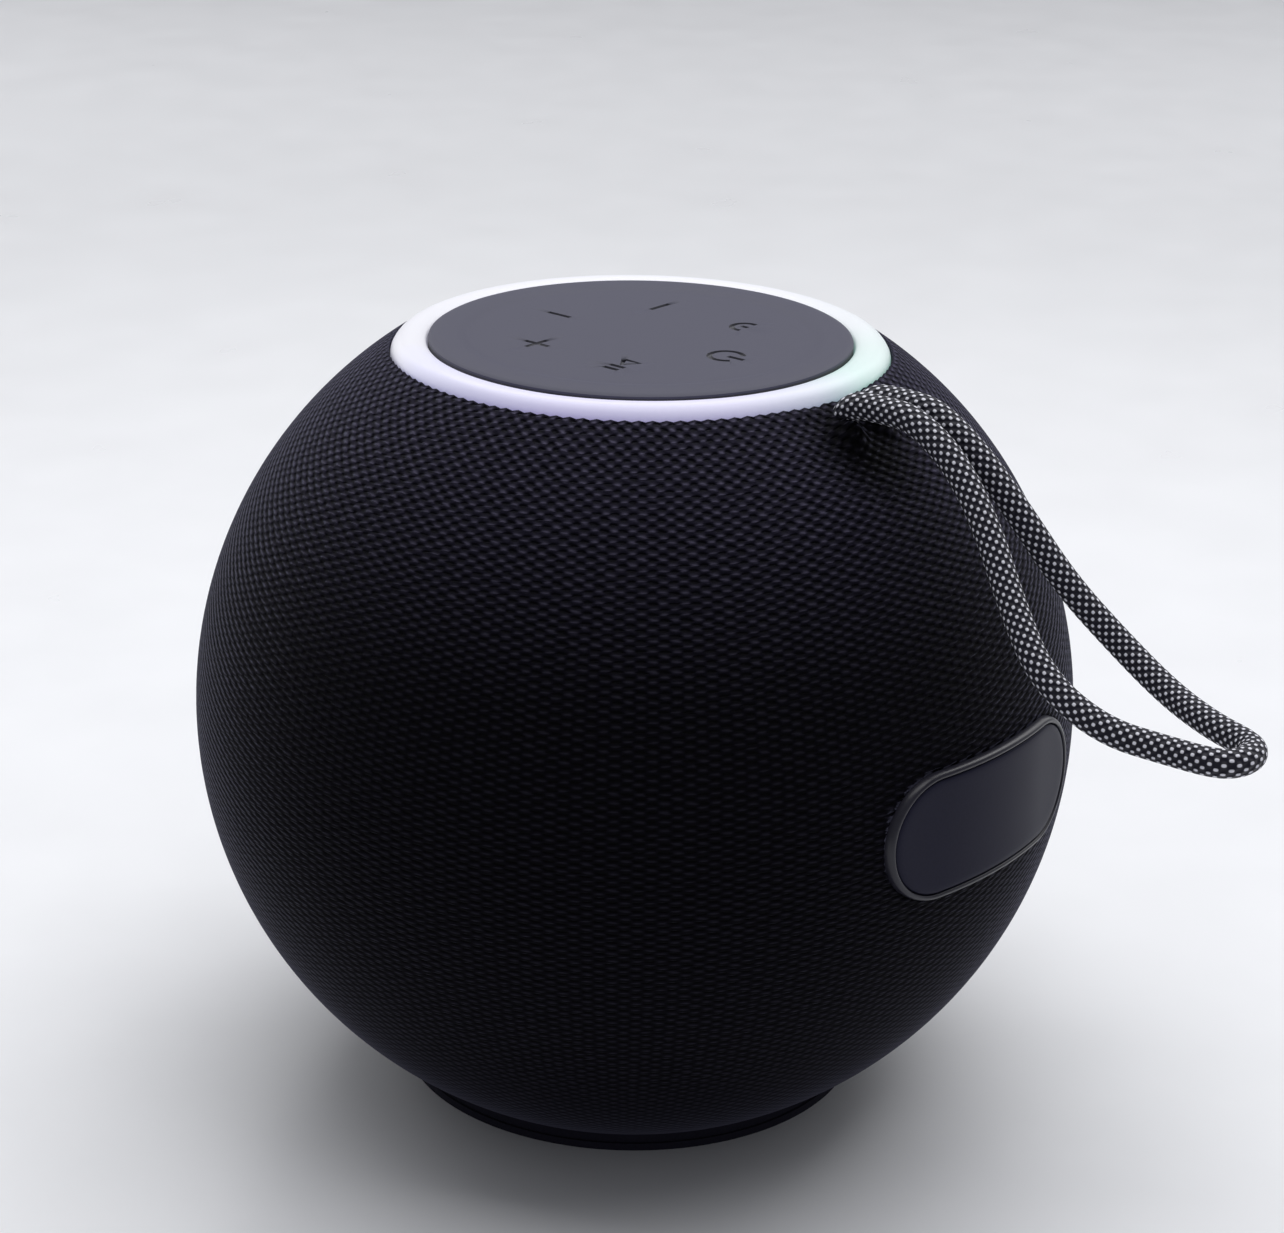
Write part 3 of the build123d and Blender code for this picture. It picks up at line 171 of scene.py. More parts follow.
def spun(profile, steps):
    """A closed outline of (radius, height) pairs in millimetres, turned round the upright axis."""
    work = bmesh.new()
    corners = [work.verts.new((r * MM, 0, z * MM)) for r, z in profile]
    rim = [work.edges.new(pair) for pair in zip(corners, corners[1:] + corners[:1])]
    bmesh.ops.spin(
        work,
        geom=corners + rim,
        cent=(0, 0, 0),
        axis=(0, 0, 1),
        dvec=(0, 0, 0),
        angle=2 * math.pi,
        steps=steps,
        use_merge=True,
    )
    bmesh.ops.remove_doubles(work, verts=work.verts, dist=weld)
    return work


def mesh_of(thing):
    """A new mesh of a curve, or of a piece with its live modifiers applied."""
    bpy.context.view_layer.update()
    seen = thing.evaluated_get(bpy.context.evaluated_depsgraph_get())
    return bpy.data.meshes.new_from_object(seen)


def carve(piece, cutter):
    """Cuts the cutter's solid out of the piece and throws the cutter away."""
    cut = piece.modifiers.new("cut", "BOOLEAN")
    cut.operation = "DIFFERENCE"
    cut.solver = "EXACT"
    cut.use_self = True
    cut.material_mode = "TRANSFER"
    cut.object = cutter
    piece.data = mesh_of(piece)
    piece.modifiers.clear()
    bpy.data.objects.remove(cutter)


# %% [markdown]
# ## Helpers for finishes
# A finish is a small net of shader nodes, so a few helpers make nodes, set their inputs and join
# them. Each one hands back the output that the next node needs.


# %% Helpers for shader nodes
def new_finish(name):
    """A new material, its node tree and its shader."""
    made = bpy.data.materials.new(name)
    made.use_nodes = True
    return made, made.node_tree, made.node_tree.nodes["Principled BSDF"]


def fill_inputs(tree, node, inputs):
    """Sets each input of a node to a value, or joins it to another node's output."""
    for name, value in inputs.items():
        if isinstance(value, bpy.types.NodeSocket):
            tree.links.new(value, node.inputs[name])
        else:
            node.inputs[name].default_value = value


def add_node(tree, kind, inputs, **settings):
    """A new node with its settings and inputs."""
    made = tree.nodes.new("ShaderNode" + kind)
    for name, value in settings.items():
        setattr(made, name, value)
    fill_inputs(tree, made, inputs)
    return made


def maths(tree, operation, *values):
    """The result of a sum with numbers or with other nodes' outputs."""
    return add_node(tree, "Math", dict(enumerate(values)), operation=operation).outputs[0]


def eased(tree, value, start, end, low, high, curve="SMOOTHSTEP"):
    """Goes from low to high while the value goes from start to end."""
    ends = {"Value": value, "From Min": start, "From Max": end, "To Min": low, "To Max": high}
    return add_node(tree, "MapRange", ends, interpolation_type=curve).outputs["Result"]


def scaled_colour(tree, colour, factor):
    """A colour made lighter or darker by a factor."""
    inputs = {0: colour, "Scale": factor}
    return add_node(tree, "VectorMath", inputs, operation="SCALE").outputs["Vector"]


def colour_ramp(tree, value, stops):
    """The colour at a value, from a rising list of (place, colour) stops."""
    made = add_node(tree, "ValToRGB", {"Fac": value})
    marks = made.color_ramp.elements
    for mark, (place, colour) in zip((marks[0], marks[1]), (stops[0], stops[-1])):
        mark.position = place
        mark.color = (*colour, 1)
    for place, colour in stops[1:-1]:
        marks.new(place).color = (*colour, 1)
    return made.outputs["Color"]


def bumps(tree, height, strength, depth):
    """Surface bumps from a height, so many millimetres deep."""
    inputs = {"Height": height, "Strength": strength, "Distance": depth * MM}
    return add_node(tree, "Bump", inputs).outputs["Normal"]


# %% [markdown]
# Moulded plastic, rubber and metal all have a fine grain. One helper makes them: noise on object
# coordinates tints the colour a little, breaks up the gloss and gives a shallow bump. Stretching
# the noise along one axis turns grain into brushed lines.

# %% Helper for a grained finish
tint_from, tint_to = 0.3, 0.7
gloss_spread, gloss_least = 0.06, 0.05
grain_strength = 0.4


def grained(
    name,
    colour,
    rough,
    metal=0.0,
    grain=1500,
    depth=0.02,
    shift=0.15,
    stretch=(1, 1, 1),
    specular=0.5,
):
    """Material with a grain of that many cells in a metre, so many millimetres deep."""
    made, tree, shader = new_finish(name)
    where = add_node(tree, "TexCoord", {}).outputs["Object"]
    scaled = add_node(tree, "Mapping", {"Vector": where, "Scale": stretch}).outputs["Vector"]
    cells = {"Vector": scaled, "Scale": grain, "Detail": 3}
    noise = add_node(tree, "TexNoise", cells).outputs["Fac"]
    dark = [c * (1 - shift) for c in colour]
    light = [min(1, c * (1 + shift)) for c in colour]
    gloss = {
        "Value": noise,
        "To Min": max(gloss_least, rough - gloss_spread),
        "To Max": min(1, rough + gloss_spread),
    }
    look = {
        "Metallic": metal,
        "Specular IOR Level": specular,
        "Base Color": colour_ramp(tree, noise, [(tint_from, dark), (tint_to, light)]),
        "Roughness": add_node(tree, "MapRange", gloss).outputs["Result"],
        "Normal": bumps(tree, noise, grain_strength, depth),
    }
    fill_inputs(tree, shader, look)
    return made


# %% [markdown]
# ## Carry loop: the route
# The loop is one stiff braided rope, 4 mm thick. Both ends are held in a socket under the rim,
# leave the ball side by side behind the light ring, run out nearly level and then fall outwards.
# The points are distances from the rope's exit and from the height of the sleeve's edge. From the
# eighth on they repeat the points of the solid rope. The first seven lead up to them on a lower
# path than the solid's. A spline of order 3 follows all of them in one smooth line.

# %% The rope's spline
exit_y = 38.1 * MM
strand = [
    (2.3, 0.0, -14.316),
    (2.3, -0.6, -9.5),
    (2.3, -1.7, -4.6),
    (2.3, -0.4, 0.0),
    (2.3, 5.6, 0.2),
    (2.3, 10.2, 0.0),
    (2.4, 16.7, -4.1),
    (3.7, 23.1, -11.3),
    (6.1, 29.2, -20.0),
    (8.9, 36.0, -27.1),
    (8.1, 44.6, -31.8),
    (5.3, 52.8, -33.1),
    (4.0, 58.9, -33.5),
    (1.6, 60.8, -33.5),
]
strand = [(x * MM, exit_y + y * MM, edge_z + z * MM) for x, y, z in strand]
route = strand + [(-x, y, z) for x, y, z in reversed(strand)]
line = bpy.data.curves.new("rope_line", "CURVE")
line.dimensions = "3D"
spline = line.splines.new("NURBS")
spline.points.add(len(route) - 1)
for point, place in zip(spline.points, route):
    point.co = (*place, 1)
spline.order_u = 3
spline.use_endpoint_u = True
spline.resolution_u = 30
rope_line = bpy.data.objects.new("rope_line", line)
bpy.context.scene.collection.objects.link(rope_line)
along = [v.co.copy() for v in mesh_of(rope_line).vertices]
bpy.data.objects.remove(rope_line)
rope_length = sum((b - a).length for a, b in zip(along, along[1:]))
print("rope", round(rope_length / MM, 1), "mm long,", len(along), "points read")

# %% [markdown]
# ## Carry loop: the braid
# The real rope has a pale core under a net of black yarns, so white dots show in a staggered
# pattern, nine to a turn. A tube with twice as many sides and rings gives each dot and each
# crossing a point of its own. Every second point is pulled in a little, a subdivision surface
# rounds the lumps, and a UV map that counts sides and rings carries the colours.

# %% The rope's finish
rope_sides = 18
dot_step = 0.68 * MM
uv_count = 100
yarn_black, core_white = (0.0055, 0.005, 0.0145), (0.78, 0.78, 0.86)

rope_look, tree, shader = new_finish("braided_rope")
cell = add_node(tree, "UVMap", {}, uv_map="braid").outputs["UV"]
split = add_node(tree, "SeparateXYZ", {"Vector": cell})
waves = [
    maths(tree, "COSINE", maths(tree, "MULTIPLY", split.outputs[axis], math.pi * uv_count))
    for axis in "XY"
]
lattice = maths(tree, "MULTIPLY", *waves)
look = {
    "Base Color": colour_ramp(tree, lattice, [(0.28, yarn_black), (0.66, core_white)]),
    "Roughness": 0.6,
    "Specular IOR Level": 0.25,
    "Sheen Weight": 0.08,
    "Normal": bumps(tree, lattice, strength=0.7, depth=0.2),
}
fill_inputs(tree, shader, look)
print("rope finish", rope_look.name)


# %% The rope's tube
def evenly(points, gap):
    """Points a fixed distance apart along a line of close points."""
    found, rest = [points[0]], gap
    for a, b in zip(points, points[1:]):
        run = (b - a).length
        while run > rest:
            a = a + (b - a) * (rest / run)
            run -= rest
            rest = gap
            found.append(a)
        rest -= run
    return found


def tube_frames(points):
    """A turned frame at each point, without twist from one to the next."""
    facing = (points[1] - points[0]).normalized()
    turn = Vector((0, 0, 1)).rotation_difference(facing)
    found = []
    for before, at, after in zip([points[0]] + points, points, points[1:] + [points[-1]]):
        ahead = (after - before).normalized()
        turn = facing.rotation_difference(ahead) @ turn
        facing = ahead
        found.append(Matrix.Translation(at) @ turn.to_matrix().to_4x4())
    return found


steps_along = evenly(along, dot_step)
core_r = 1.88 * MM
lump = 0.16 * MM
work = bmesh.new()
side_no = work.verts.layers.int.new("side_no")
ring_no = work.verts.layers.int.new("ring_no")
ring = bmesh.ops.create_circle(work, segments=rope_sides, radius=core_r)["verts"]
for number, vert in enumerate(ring):
    vert[side_no] = number
rim = list(work.edges)
for j, place in enumerate(tube_frames(steps_along)):
    if j:
        grown = bmesh.ops.extrude_edge_only(work, edges=rim)["geom"]
        ring = [g for g in grown if isinstance(g, bmesh.types.BMVert)]
        rim = [
            g
            for g in grown
            if isinstance(g, bmesh.types.BMEdge) and g.verts[0] in ring and g.verts[1] in ring
        ]
    for vert in ring:
        i = vert[side_no]
        vert[ring_no] = j
        angle = 2 * math.pi * i / rope_sides
        reach = core_r + (lump if (i + j) % 2 == 0 else -lump)
        vert.co = place @ Vector((reach * math.cos(angle), reach * math.sin(angle), 0))
bmesh.ops.holes_fill(work, edges=[e for e in work.edges if e.is_boundary], sides=rope_sides)
braid_map = work.loops.layers.uv.new("braid")
for face in work.faces:
    sides = [loop.vert[side_no] for loop in face.loops]
    wraps = len(sides) == 4 and max(sides) - min(sides) > rope_sides / 2
    for loop, i in zip(face.loops, sides):
        i = i + rope_sides if wraps and i == 0 else i
        loop[braid_map].uv = (i / uv_count, loop.vert[ring_no] / uv_count)
rope = add_piece("carry_rope", work, rope_look, "speaker", sharp=180)
smooth = rope.modifiers.new("round_lumps", "SUBSURF")
smooth.levels = smooth.render_levels = 2
smooth.uv_smooth = "NONE"
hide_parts("rope_loop")

# %% [markdown]
# ## Knitted sleeve
# The sleeve is a tube knit pulled over the ball. Its columns of stitches run like meridians, so
# each is narrow at the mouth and wide at the middle. Stretched knit keeps the area of a stitch, so
# where it is wide it is low: the rows are evenly spaced in height. A ball-shaped skin is spun from
# an arc, and a UV map counts columns and rows. The bumps come from that map, because a stitch is
# finer than a mesh that stays light could show. A stitch shows as a short level dash, and the
# dashes of one row stand over the gaps of the next. Below the shoulder the bumps get flatter, and
# the knit's colour is darkened there with painted shade, as if less light reached the lower ball.
# Beside the rope its colour is darkened again with painted shade for the hollow there.

# %% The sleeve's finish
columns = 122
row_step = 0.58 * MM
wobble_stretch = (columns / uv_count, 1.4, 1)
wobble_scale, wobble_turn = 85, 2.4
fibre_scale, fibre_share = 1500, 0.7
stitch_share, crest_power = 0.75, 4
shade_gain, shade_start = 0.35, 0.2
# Painted shade: the knit's colour is darker near the hollow under the rope.
hollow_shade_from, hollow_shade_to, hollow_shade_least = 2.5 * MM, 12 * MM, 0.12
# Painted shade: the knit's colour is darker below the shoulder.
low_shade_from, low_shade_to, low_shade_least = 74 * MM, 108 * MM, 0.2
relief_from, relief_to, relief_least = 18 * MM, 92 * MM, 0.1
gap_black = (0.0021, 0.0018, 0.0044)
flank_black = (0.013, 0.0116, 0.0225)
crest_grey = (0.06, 0.055, 0.09)
hollow_x, hollow_y, hollow_r = 2.5 * MM, 40.5 * MM, 40.6 * MM
hollow = Vector((hollow_x, hollow_y, ball_z + math.sqrt(ball_r**2 - hollow_r**2)))

knit, tree, shader = new_finish("black_knit")
cell = add_node(tree, "UVMap", {}, uv_map="stitches").outputs["UV"]
where = add_node(tree, "TexCoord", {}).outputs["Object"]
spread = add_node(tree, "Mapping", {"Vector": cell, "Scale": wobble_stretch}).outputs["Vector"]
wobble_inputs = {"Vector": spread, "Scale": wobble_scale, "Detail": 2}
wobble = add_node(tree, "TexNoise", wobble_inputs).outputs["Fac"]
shake = maths(tree, "MULTIPLY", wobble, wobble_turn)
split = add_node(tree, "SeparateXYZ", {"Vector": cell})
column_wave, row_wave = [
    maths(tree, "COSINE", maths(tree, "MULTIPLY_ADD", split.outputs[axis], count, shake))
    for axis, count in (("X", 2 * math.pi * columns), ("Y", math.pi * uv_count))
]
stitch = maths(tree, "MULTIPLY", column_wave, row_wave)
crest = maths(tree, "MULTIPLY", stitch, maths(tree, "POWER", row_wave, crest_power))
dash = maths(tree, "MULTIPLY_ADD", stitch, stitch_share, crest)
fibre_inputs = {"Vector": where, "Scale": fibre_scale, "Detail": 4}
fibre = add_node(tree, "TexNoise", fibre_inputs).outputs["Fac"]
height = maths(tree, "MULTIPLY_ADD", fibre, fibre_share, dash)
tone = maths(tree, "MULTIPLY_ADD", height, shade_gain, shade_start)
shade = colour_ramp(tree, tone, [(0.06, gap_black), (0.36, flank_black), (0.85, crest_grey)])
# Painted shade near the rope's hollow, where the rope's shadow falls.
ends = {0: where, 1: hollow}
near = add_node(tree, "VectorMath", ends, operation="DISTANCE").outputs["Value"]
painted_hollow_shade = eased(tree, near, hollow_shade_from, hollow_shade_to, hollow_shade_least, 1.0)
level = add_node(tree, "SeparateXYZ", {"Vector": where}).outputs["Z"]
# Painted shade low on the ball: the colour falls off below the shoulder, as if lit from above.
painted_low_shade = eased(tree, level, low_shade_from, low_shade_to, low_shade_least, 1.0)
relief = eased(tree, level, relief_from, relief_to, relief_least, 1.0, curve="LINEAR")
raised = maths(tree, "MULTIPLY", height, relief)
look = {
    # The base colour carries both painted shades: near the hollow and low on the ball.
    "Base Color": scaled_colour(tree, shade, maths(tree, "MULTIPLY", painted_hollow_shade, painted_low_shade)),
    "Roughness": 0.7,
    "Specular IOR Level": 0.04,
    "Sheen Weight": 0.2,
    "Sheen Roughness": 0.25,
    "Sheen Tint": (0.6, 0.6, 0.88, 1),
    "Normal": bumps(tree, raised, strength=0.8, depth=0.22),
}
fill_inputs(tree, shader, look)
print("knit of", columns, "columns")


# %% The sleeve's skin
def arc(radius, high_z, low_z, count):
    """Points of a ball's outline from one height down to another, as (radius, height) in mm."""
    top = math.acos((high_z - ball_z) / radius)
    bottom = math.acos((low_z - ball_z) / radius)
    turns = [top + (bottom - top) * k / count for k in range(count + 1)]
    return [(radius * math.sin(t) / MM, (ball_z + radius * math.cos(t)) / MM) for t in turns]


outer_cuts, inner_cuts = 132, 66
scallop_band = 0.1 * MM
scallop_even, scallop_odd = 0.26 * MM, 0.02 * MM
inner_r = ball_r - sleeve_t
mouth_z = ball_z + math.sqrt(ball_r**2 - mouth_r**2)
inner_mouth_z = ball_z + math.sqrt(inner_r**2 - mouth_r**2)
outer_arc = arc(ball_r, mouth_z, sleeve_low.z, outer_cuts)
inner_arc = arc(inner_r, inner_mouth_z, sleeve_low.z, inner_cuts)
work = spun(outer_arc + inner_arc[::-1], 2 * columns)
stitch_map = work.loops.layers.uv.new("stitches")
for face in work.faces:
    centre = face.calc_center_median()
    facing = math.atan2(centre.y, centre.x)
    for loop in face.loops:
        spot = loop.vert.co
        turn = math.atan2(spot.y, spot.x) - facing
        turn = (turn + math.pi) % (2 * math.pi) - math.pi
        drop = (mouth_z - spot.z) / row_step
        loop[stitch_map].uv = ((facing + turn) / (2 * math.pi), drop / uv_count)
for vert in work.verts:
    if vert.co.z > mouth_z - scallop_band:
        number = round(math.atan2(vert.co.y, vert.co.x) * columns / math.pi)
        vert.co.z -= scallop_odd if number % 2 else scallop_even
sleeve = add_piece("knit_sleeve", work, knit, "speaker")

# %% [markdown]
# ## Outlines on the ball
# The port's bezel and flap are rounded slots that follow the ball. A circle is split in two halves
# that move apart, its two long edges are divided, and each point then goes out to the ball. Loops
# of different width and reach, bridged one to the next, make the rings and the flap.

# %% Helpers for rounded slots on the ball
slot_sides = 64
slot_cuts = 23


def slot_loop(work, width, height, reach):
    """A loop of edges on the ball that faces +Y; reach is its distance from the ball's middle."""
    had = set(work.edges)
    end_r = height / 2
    spin_half = Matrix.Rotation(math.pi / slot_sides, 4, "Z")
    circle = bmesh.ops.create_circle(work, segments=slot_sides, radius=end_r, matrix=spin_half)
    for vert in circle["verts"]:
        vert.co.x += math.copysign(width / 2 - end_r, vert.co.x)
    long = sorted((e for e in work.edges if e not in had), key=lambda e: e.calc_length())[-2:]
    bmesh.ops.subdivide_edges(work, edges=long, cuts=slot_cuts)
    loop = [e for e in work.edges if e not in had]
    for vert in {v for e in loop for v in e.verts}:
        x, up = vert.co.x, vert.co.y + port_z - ball_z
        vert.co = (x, math.sqrt(reach**2 - x**2 - up**2), ball_z + up)
    return loop


def lofted(work, loops, closed):
    """Bridges each loop of edges to the next one, and the last to the first if closed."""
    pairs = list(zip(loops, loops[1:]))
    if closed:
        pairs.append((loops[-1], loops[0]))
    for a, b in pairs:
        bmesh.ops.bridge_loops(work, edges=a + b)


def slot_wall(work, width, height, section, closed):
    """A lofted slot. Each pair of its section is an inset from the outline and a reach, in mm."""
    loops = [
        slot_loop(work, width - 2 * inset * MM, height - 2 * inset * MM, reach * MM)
        for inset, reach in section
    ]
    lofted(work, loops, closed)


# %% The port's opening in the sleeve
under_bezel = 1.3 * MM
cut_reach = 4 * MM
work = bmesh.new()
loops = [
    slot_loop(work, bezel_w - under_bezel, bezel_h - under_bezel, reach)
    for reach in (ball_r - cut_reach, ball_r + cut_reach)
]
lofted(work, loops, closed=False)
for loop in loops:
    bmesh.ops.triangle_fill(work, edges=loop, use_beauty=True)
carve(sleeve, add_piece("port_cutter", work, knit, None))

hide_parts("knitted_cover")
print("sleeve after the cut:", len(sleeve.data.polygons), "faces")

# %% [markdown]
# The knit is gathered under the rope, where both go down into the slot of the ball. It lifts a
# little against the rope, sags in a shallow hollow beside it, and runs away from it in fine pleats.
# Moving the nearby points along the ball's radius makes all three.

# %% The hollow under the rope
ball_middle = Vector((0, 0, ball_z))
shoulder_up = 30 * MM
lip_up, lip_x, lip_y, lip_reach = 1.7, 3.6 * MM, 38.9 * MM, 3.4 * MM
sag_down, sag_at, sag_reach = 0.45, 5, 8
pleat_up, pleat_count, pleat_at, pleat_reach = 0.14, 17, 8, 6
pleat_y = 37 * MM


def swell(share):
    """1 at 0, falling smoothly to 0 at 1."""
    return 0.5 + 0.5 * math.cos(math.pi * min(1, share))


for vert in sleeve.data.vertices:
    spot = vert.co
    out = spot - ball_middle
    if spot.y > 0 and spot.z > ball_z + shoulder_up:
        turn = math.atan2(spot.x, spot.y - pleat_y)
        near = (spot - hollow).length / MM
        lip = lip_up * swell(math.hypot(abs(spot.x) - lip_x, spot.y - lip_y) / lip_reach)
        sag = sag_down * swell(abs(near - sag_at) / sag_reach)
        pleat = pleat_up * math.cos(pleat_count * turn)
        pleat *= swell(abs(near - pleat_at) / pleat_reach)
        vert.co += out.normalized() * (lip - sag + pleat) * MM
print("hollow at", hollow)

# %% [markdown]
# ## Light ring
# The ring is milky plastic over a circle of small lamps. It is spun from a rounded outline. Light
# spreads inside it, so the finish scatters light below the surface and glows gently. The lamps
# differ in colour, from violet at one side to a cool green at the other.

# %% The ring's finish
milky_white = (0.655, 0.655, 0.675)
lamp_colours = [
    (0.0, (0.6, 0.62, 0.8)),
    (0.39, (0.6, 0.6, 0.75)),
    (0.44, (0.42, 0.42, 1.0)),
    (0.56, (0.36, 0.27, 1.0)),
    (0.67, (0.4, 0.34, 0.98)),
    (0.73, (0.3, 0.42, 0.75)),
    (0.78, (0.12, 0.74, 0.58)),
    (0.84, (0.32, 0.74, 0.62)),
    (0.9, (0.55, 0.68, 0.75)),
    (1.0, (0.6, 0.62, 0.8)),
]
glow = grained("milky_ring", milky_white, 0.36, grain=2500, depth=0.004, shift=0.01)
tree = glow.node_tree
where = add_node(tree, "TexCoord", {}).outputs["Object"]
split = add_node(tree, "SeparateXYZ", {"Vector": where})
around = maths(tree, "ARCTAN2", split.outputs["Y"], split.outputs["X"])
turn = eased(tree, around, -math.pi, math.pi, 0.0, 1.0, curve="LINEAR")
look = {
    "Subsurface Weight": 0.35,
    "Subsurface Radius": (1, 1, 1),
    "Subsurface Scale": 2 * MM,
    "Emission Color": colour_ramp(tree, turn, lamp_colours),
    "Emission Strength": 0.25,
}
fill_inputs(tree, tree.nodes["Principled BSDF"], look)
print("ring finish", glow.name)

# %% The ring's shape
ring_bottom = ring_low.z / MM
ring_steps = 256
ring_outline = [
    (29.7, ring_bottom),
    (29.7, 108.85),
    (29.78, 109.12),
    (30.05, 109.34),
    (30.7, 109.56),
    (31.4, 109.71),
    (32.1, 109.78),
    (32.8, 109.7),
    (33.4, 109.43),
    (33.9, 109.03),
    (34.3, 108.53),
    (34.6, 108.0),
    (34.7, 107.6),
    (34.7, ring_bottom),
]
ring_work = spun(ring_outline, ring_steps)
ring_piece = add_piece("light_ring_lens", ring_work, glow, "speaker", sharp=40)
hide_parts("light_ring")

# %% [markdown]
# ## Key pad
# The pad is one soft disc with six round keys that sink 0.4 mm. At rest keys and pad are flush and
# look like one skin, so a key is a disc that fills its hole exactly and rides on its own body.
# The pad is a shallow dish: its level floor is a circle with six circles in it, filled as one face
# with holes, and its rim stands 0.4 mm higher and falls away in a gentle slope.

# %% The pad's finish and shape
pad_grain = {"grain": 3500, "depth": 0.012, "shift": 0.05}
rubber_grey = grained("pad_rubber", (0.056, 0.056, 0.087), 0.58, specular=0.32, **pad_grain)
# Painted shade: the pad's side wall is coloured dark for the shadowed gap between pad and ring.
painted_gap_shade = grained("painted_gap_shade", (0.02, 0.02, 0.026), 0.6, **pad_grain)
key_r = 5.3 * MM
key_pitch = 15.2 * MM
key_sides, pad_sides = 64, 192
dish = 0.4 * MM
gap_shade_steep = 0.3
key_turns = {
    "key_play": 30,
    "key_power": 90,
    "key_light": 150,
    "key_minus": 210,
    "key_link": 270,
    "key_plus": 330,
}
key_spots = {}
for name, degrees in key_turns.items():
    turn = math.radians(degrees)
    key_spots[name] = Vector((key_pitch * math.cos(turn), key_pitch * math.sin(turn), 0))


def flat_circle(work, radius, centre, z, segments):
    """A loop of edges on a level circle."""
    had = set(work.edges)
    place = Matrix.Translation((centre.x, centre.y, z))
    bmesh.ops.create_circle(work, segments=segments, radius=radius, matrix=place)
    return [e for e in work.edges if e not in had]


work = bmesh.new()
spots = key_spots.values()
holes_top = [flat_circle(work, key_r, spot, pad_z - dish, key_sides) for spot in spots]
holes_low = [flat_circle(work, key_r, spot, pad_low.z, key_sides) for spot in spots]
middle = Vector((0, 0, 0))
rim_section = [
    (23.0, -0.4),
    (23.7, -0.38),
    (24.4, -0.28),
    (25.1, -0.1),
    (25.7, -0.02),
    (26.4, 0.0),
    (27.6, -0.04),
    (28.6, -0.16),
    (29.1, -0.3),
    (29.4, -0.48),
    (29.5, -0.72),
    (29.5, (pad_low.z - pad_z) / MM),
]
rims = [flat_circle(work, r * MM, middle, pad_z + z * MM, pad_sides) for r, z in rim_section]
for rim, holes in ((rims[0], holes_top), (rims[-1], holes_low)):
    bmesh.ops.triangle_fill(work, edges=rim + [e for h in holes for e in h], use_beauty=True)
lofted(work, rims, closed=False)
for top, low in zip(holes_top, holes_low):
    bmesh.ops.bridge_loops(work, edges=top + low)
pad = add_piece("key_pad", work, rubber_grey, "speaker")
pad.data.materials.append(painted_gap_shade)
# Painted shade: steep wall faces take the dark gap colour.
for face in pad.data.polygons:
    if abs(face.normal.z) < gap_shade_steep:
        face.material_index = 1
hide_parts("control_pad")

# %% [markdown]
# ## Signs on the keys
# Each key carries a plain sign pressed into the rubber: play and pause, on and off, lamp, minus,
# link and plus. A sign is a few strokes. Each stroke is a round tube that is half sunk in the key
# and carved out of it. The groove gets a darker colour than the skin, as painted shade for the
# sunk stroke.

# %% Keys with their signs
# Painted shade: the grooves are coloured darker for the shade inside the sunk strokes.
painted_groove_shade = grained("sign_groove", (0.03, 0.03, 0.042), 0.6, grain=3500, depth=0.01, shift=0.08)
stroke_r = 0.4 * MM


def bow(radius, start, end, centre=(0, 0), count=16, way=1):
    """Points of an arc between two angles in degrees; way -1 mirrors it left to right."""
    x, y = centre
    turns = [math.radians(start + (end - start) * k / count) for k in range(count + 1)]
    return [(x + way * radius * math.cos(t), y + radius * math.sin(t)) for t in turns]


def key_outline(top, low):
    """Half of a key's section in millimetres: a disc, and below it a stem that gets narrower."""
    edge = key_r / MM
    return [(0, top), (edge, top), (edge, top - 0.9), (4.2, top - 1.1), (1.6, low), (0, low)]


signs = {
    "key_play": [
        [(-2.3, -1.35), (-2.3, 1.35), (-0.2, 0.0), (-2.3, -1.35)],
        [(0.75, -1.3), (0.75, 1.3)],
        [(2.1, -1.3), (2.1, 1.3)],
    ],
    "key_power": [bow(2.35, 130, 410), [(0.0, 0.3), (0.0, 3.0)]],
    "key_light": [bow(1.9, 165, 375, (0, 0.4)), [(0.0, -0.2), (0.0, 0.9)]],
    "key_minus": [[(-2.1, 0.0), (2.1, 0.0)]],
    "key_link": [[(0.0, -2.1), (0.0, 2.1)]],
    "key_plus": [[(-2.2, 0.0), (2.2, 0.0)], [(0.0, -2.2), (0.0, 2.2)]],
}
for name, strokes in signs.items():
    spot = key_spots[name]
    top, low = (pad_z - dish) / MM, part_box(name)[0].z / MM
    work = spun(key_outline(top, low), key_sides)
    bmesh.ops.translate(work, vec=spot, verts=work.verts)
    cap = add_piece(name + "_cap", work, rubber_grey, name, sharp=30)
    cap.data.materials.append(painted_groove_shade)
    pen = bpy.data.curves.new("pen", "CURVE")
    pen.dimensions = "3D"
    pen.bevel_depth = stroke_r
    pen.bevel_resolution = 2
    pen.use_fill_caps = True
    for stroke in strokes:
        ink = pen.splines.new("POLY")
        ink.points.add(len(stroke) - 1)
        for point, (x, y) in zip(ink.points, stroke):
            point.co = (spot.x + x * MM, spot.y + y * MM, pad_z - dish, 1)
    pen_piece = bpy.data.objects.new("pen", pen)
    bpy.context.scene.collection.objects.link(pen_piece)
    work = bmesh.new()
    work.from_mesh(mesh_of(pen_piece))
    bpy.data.objects.remove(pen_piece)
    bmesh.ops.remove_doubles(work, verts=work.verts, dist=weld)
    carve(cap, add_piece("sign_cutter", work, painted_groove_shade, None))
    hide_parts(name)

# %% [markdown]
# ## Port bezel and flap
# The bezel is a hard frame. Its flange holds the knit's edge down, and only a thin rounded rim
# stands a little proud of it. The flap is soft satin rubber with a slightly hollow face, so that it
# catches light along its edges, and a plug rim on its back.

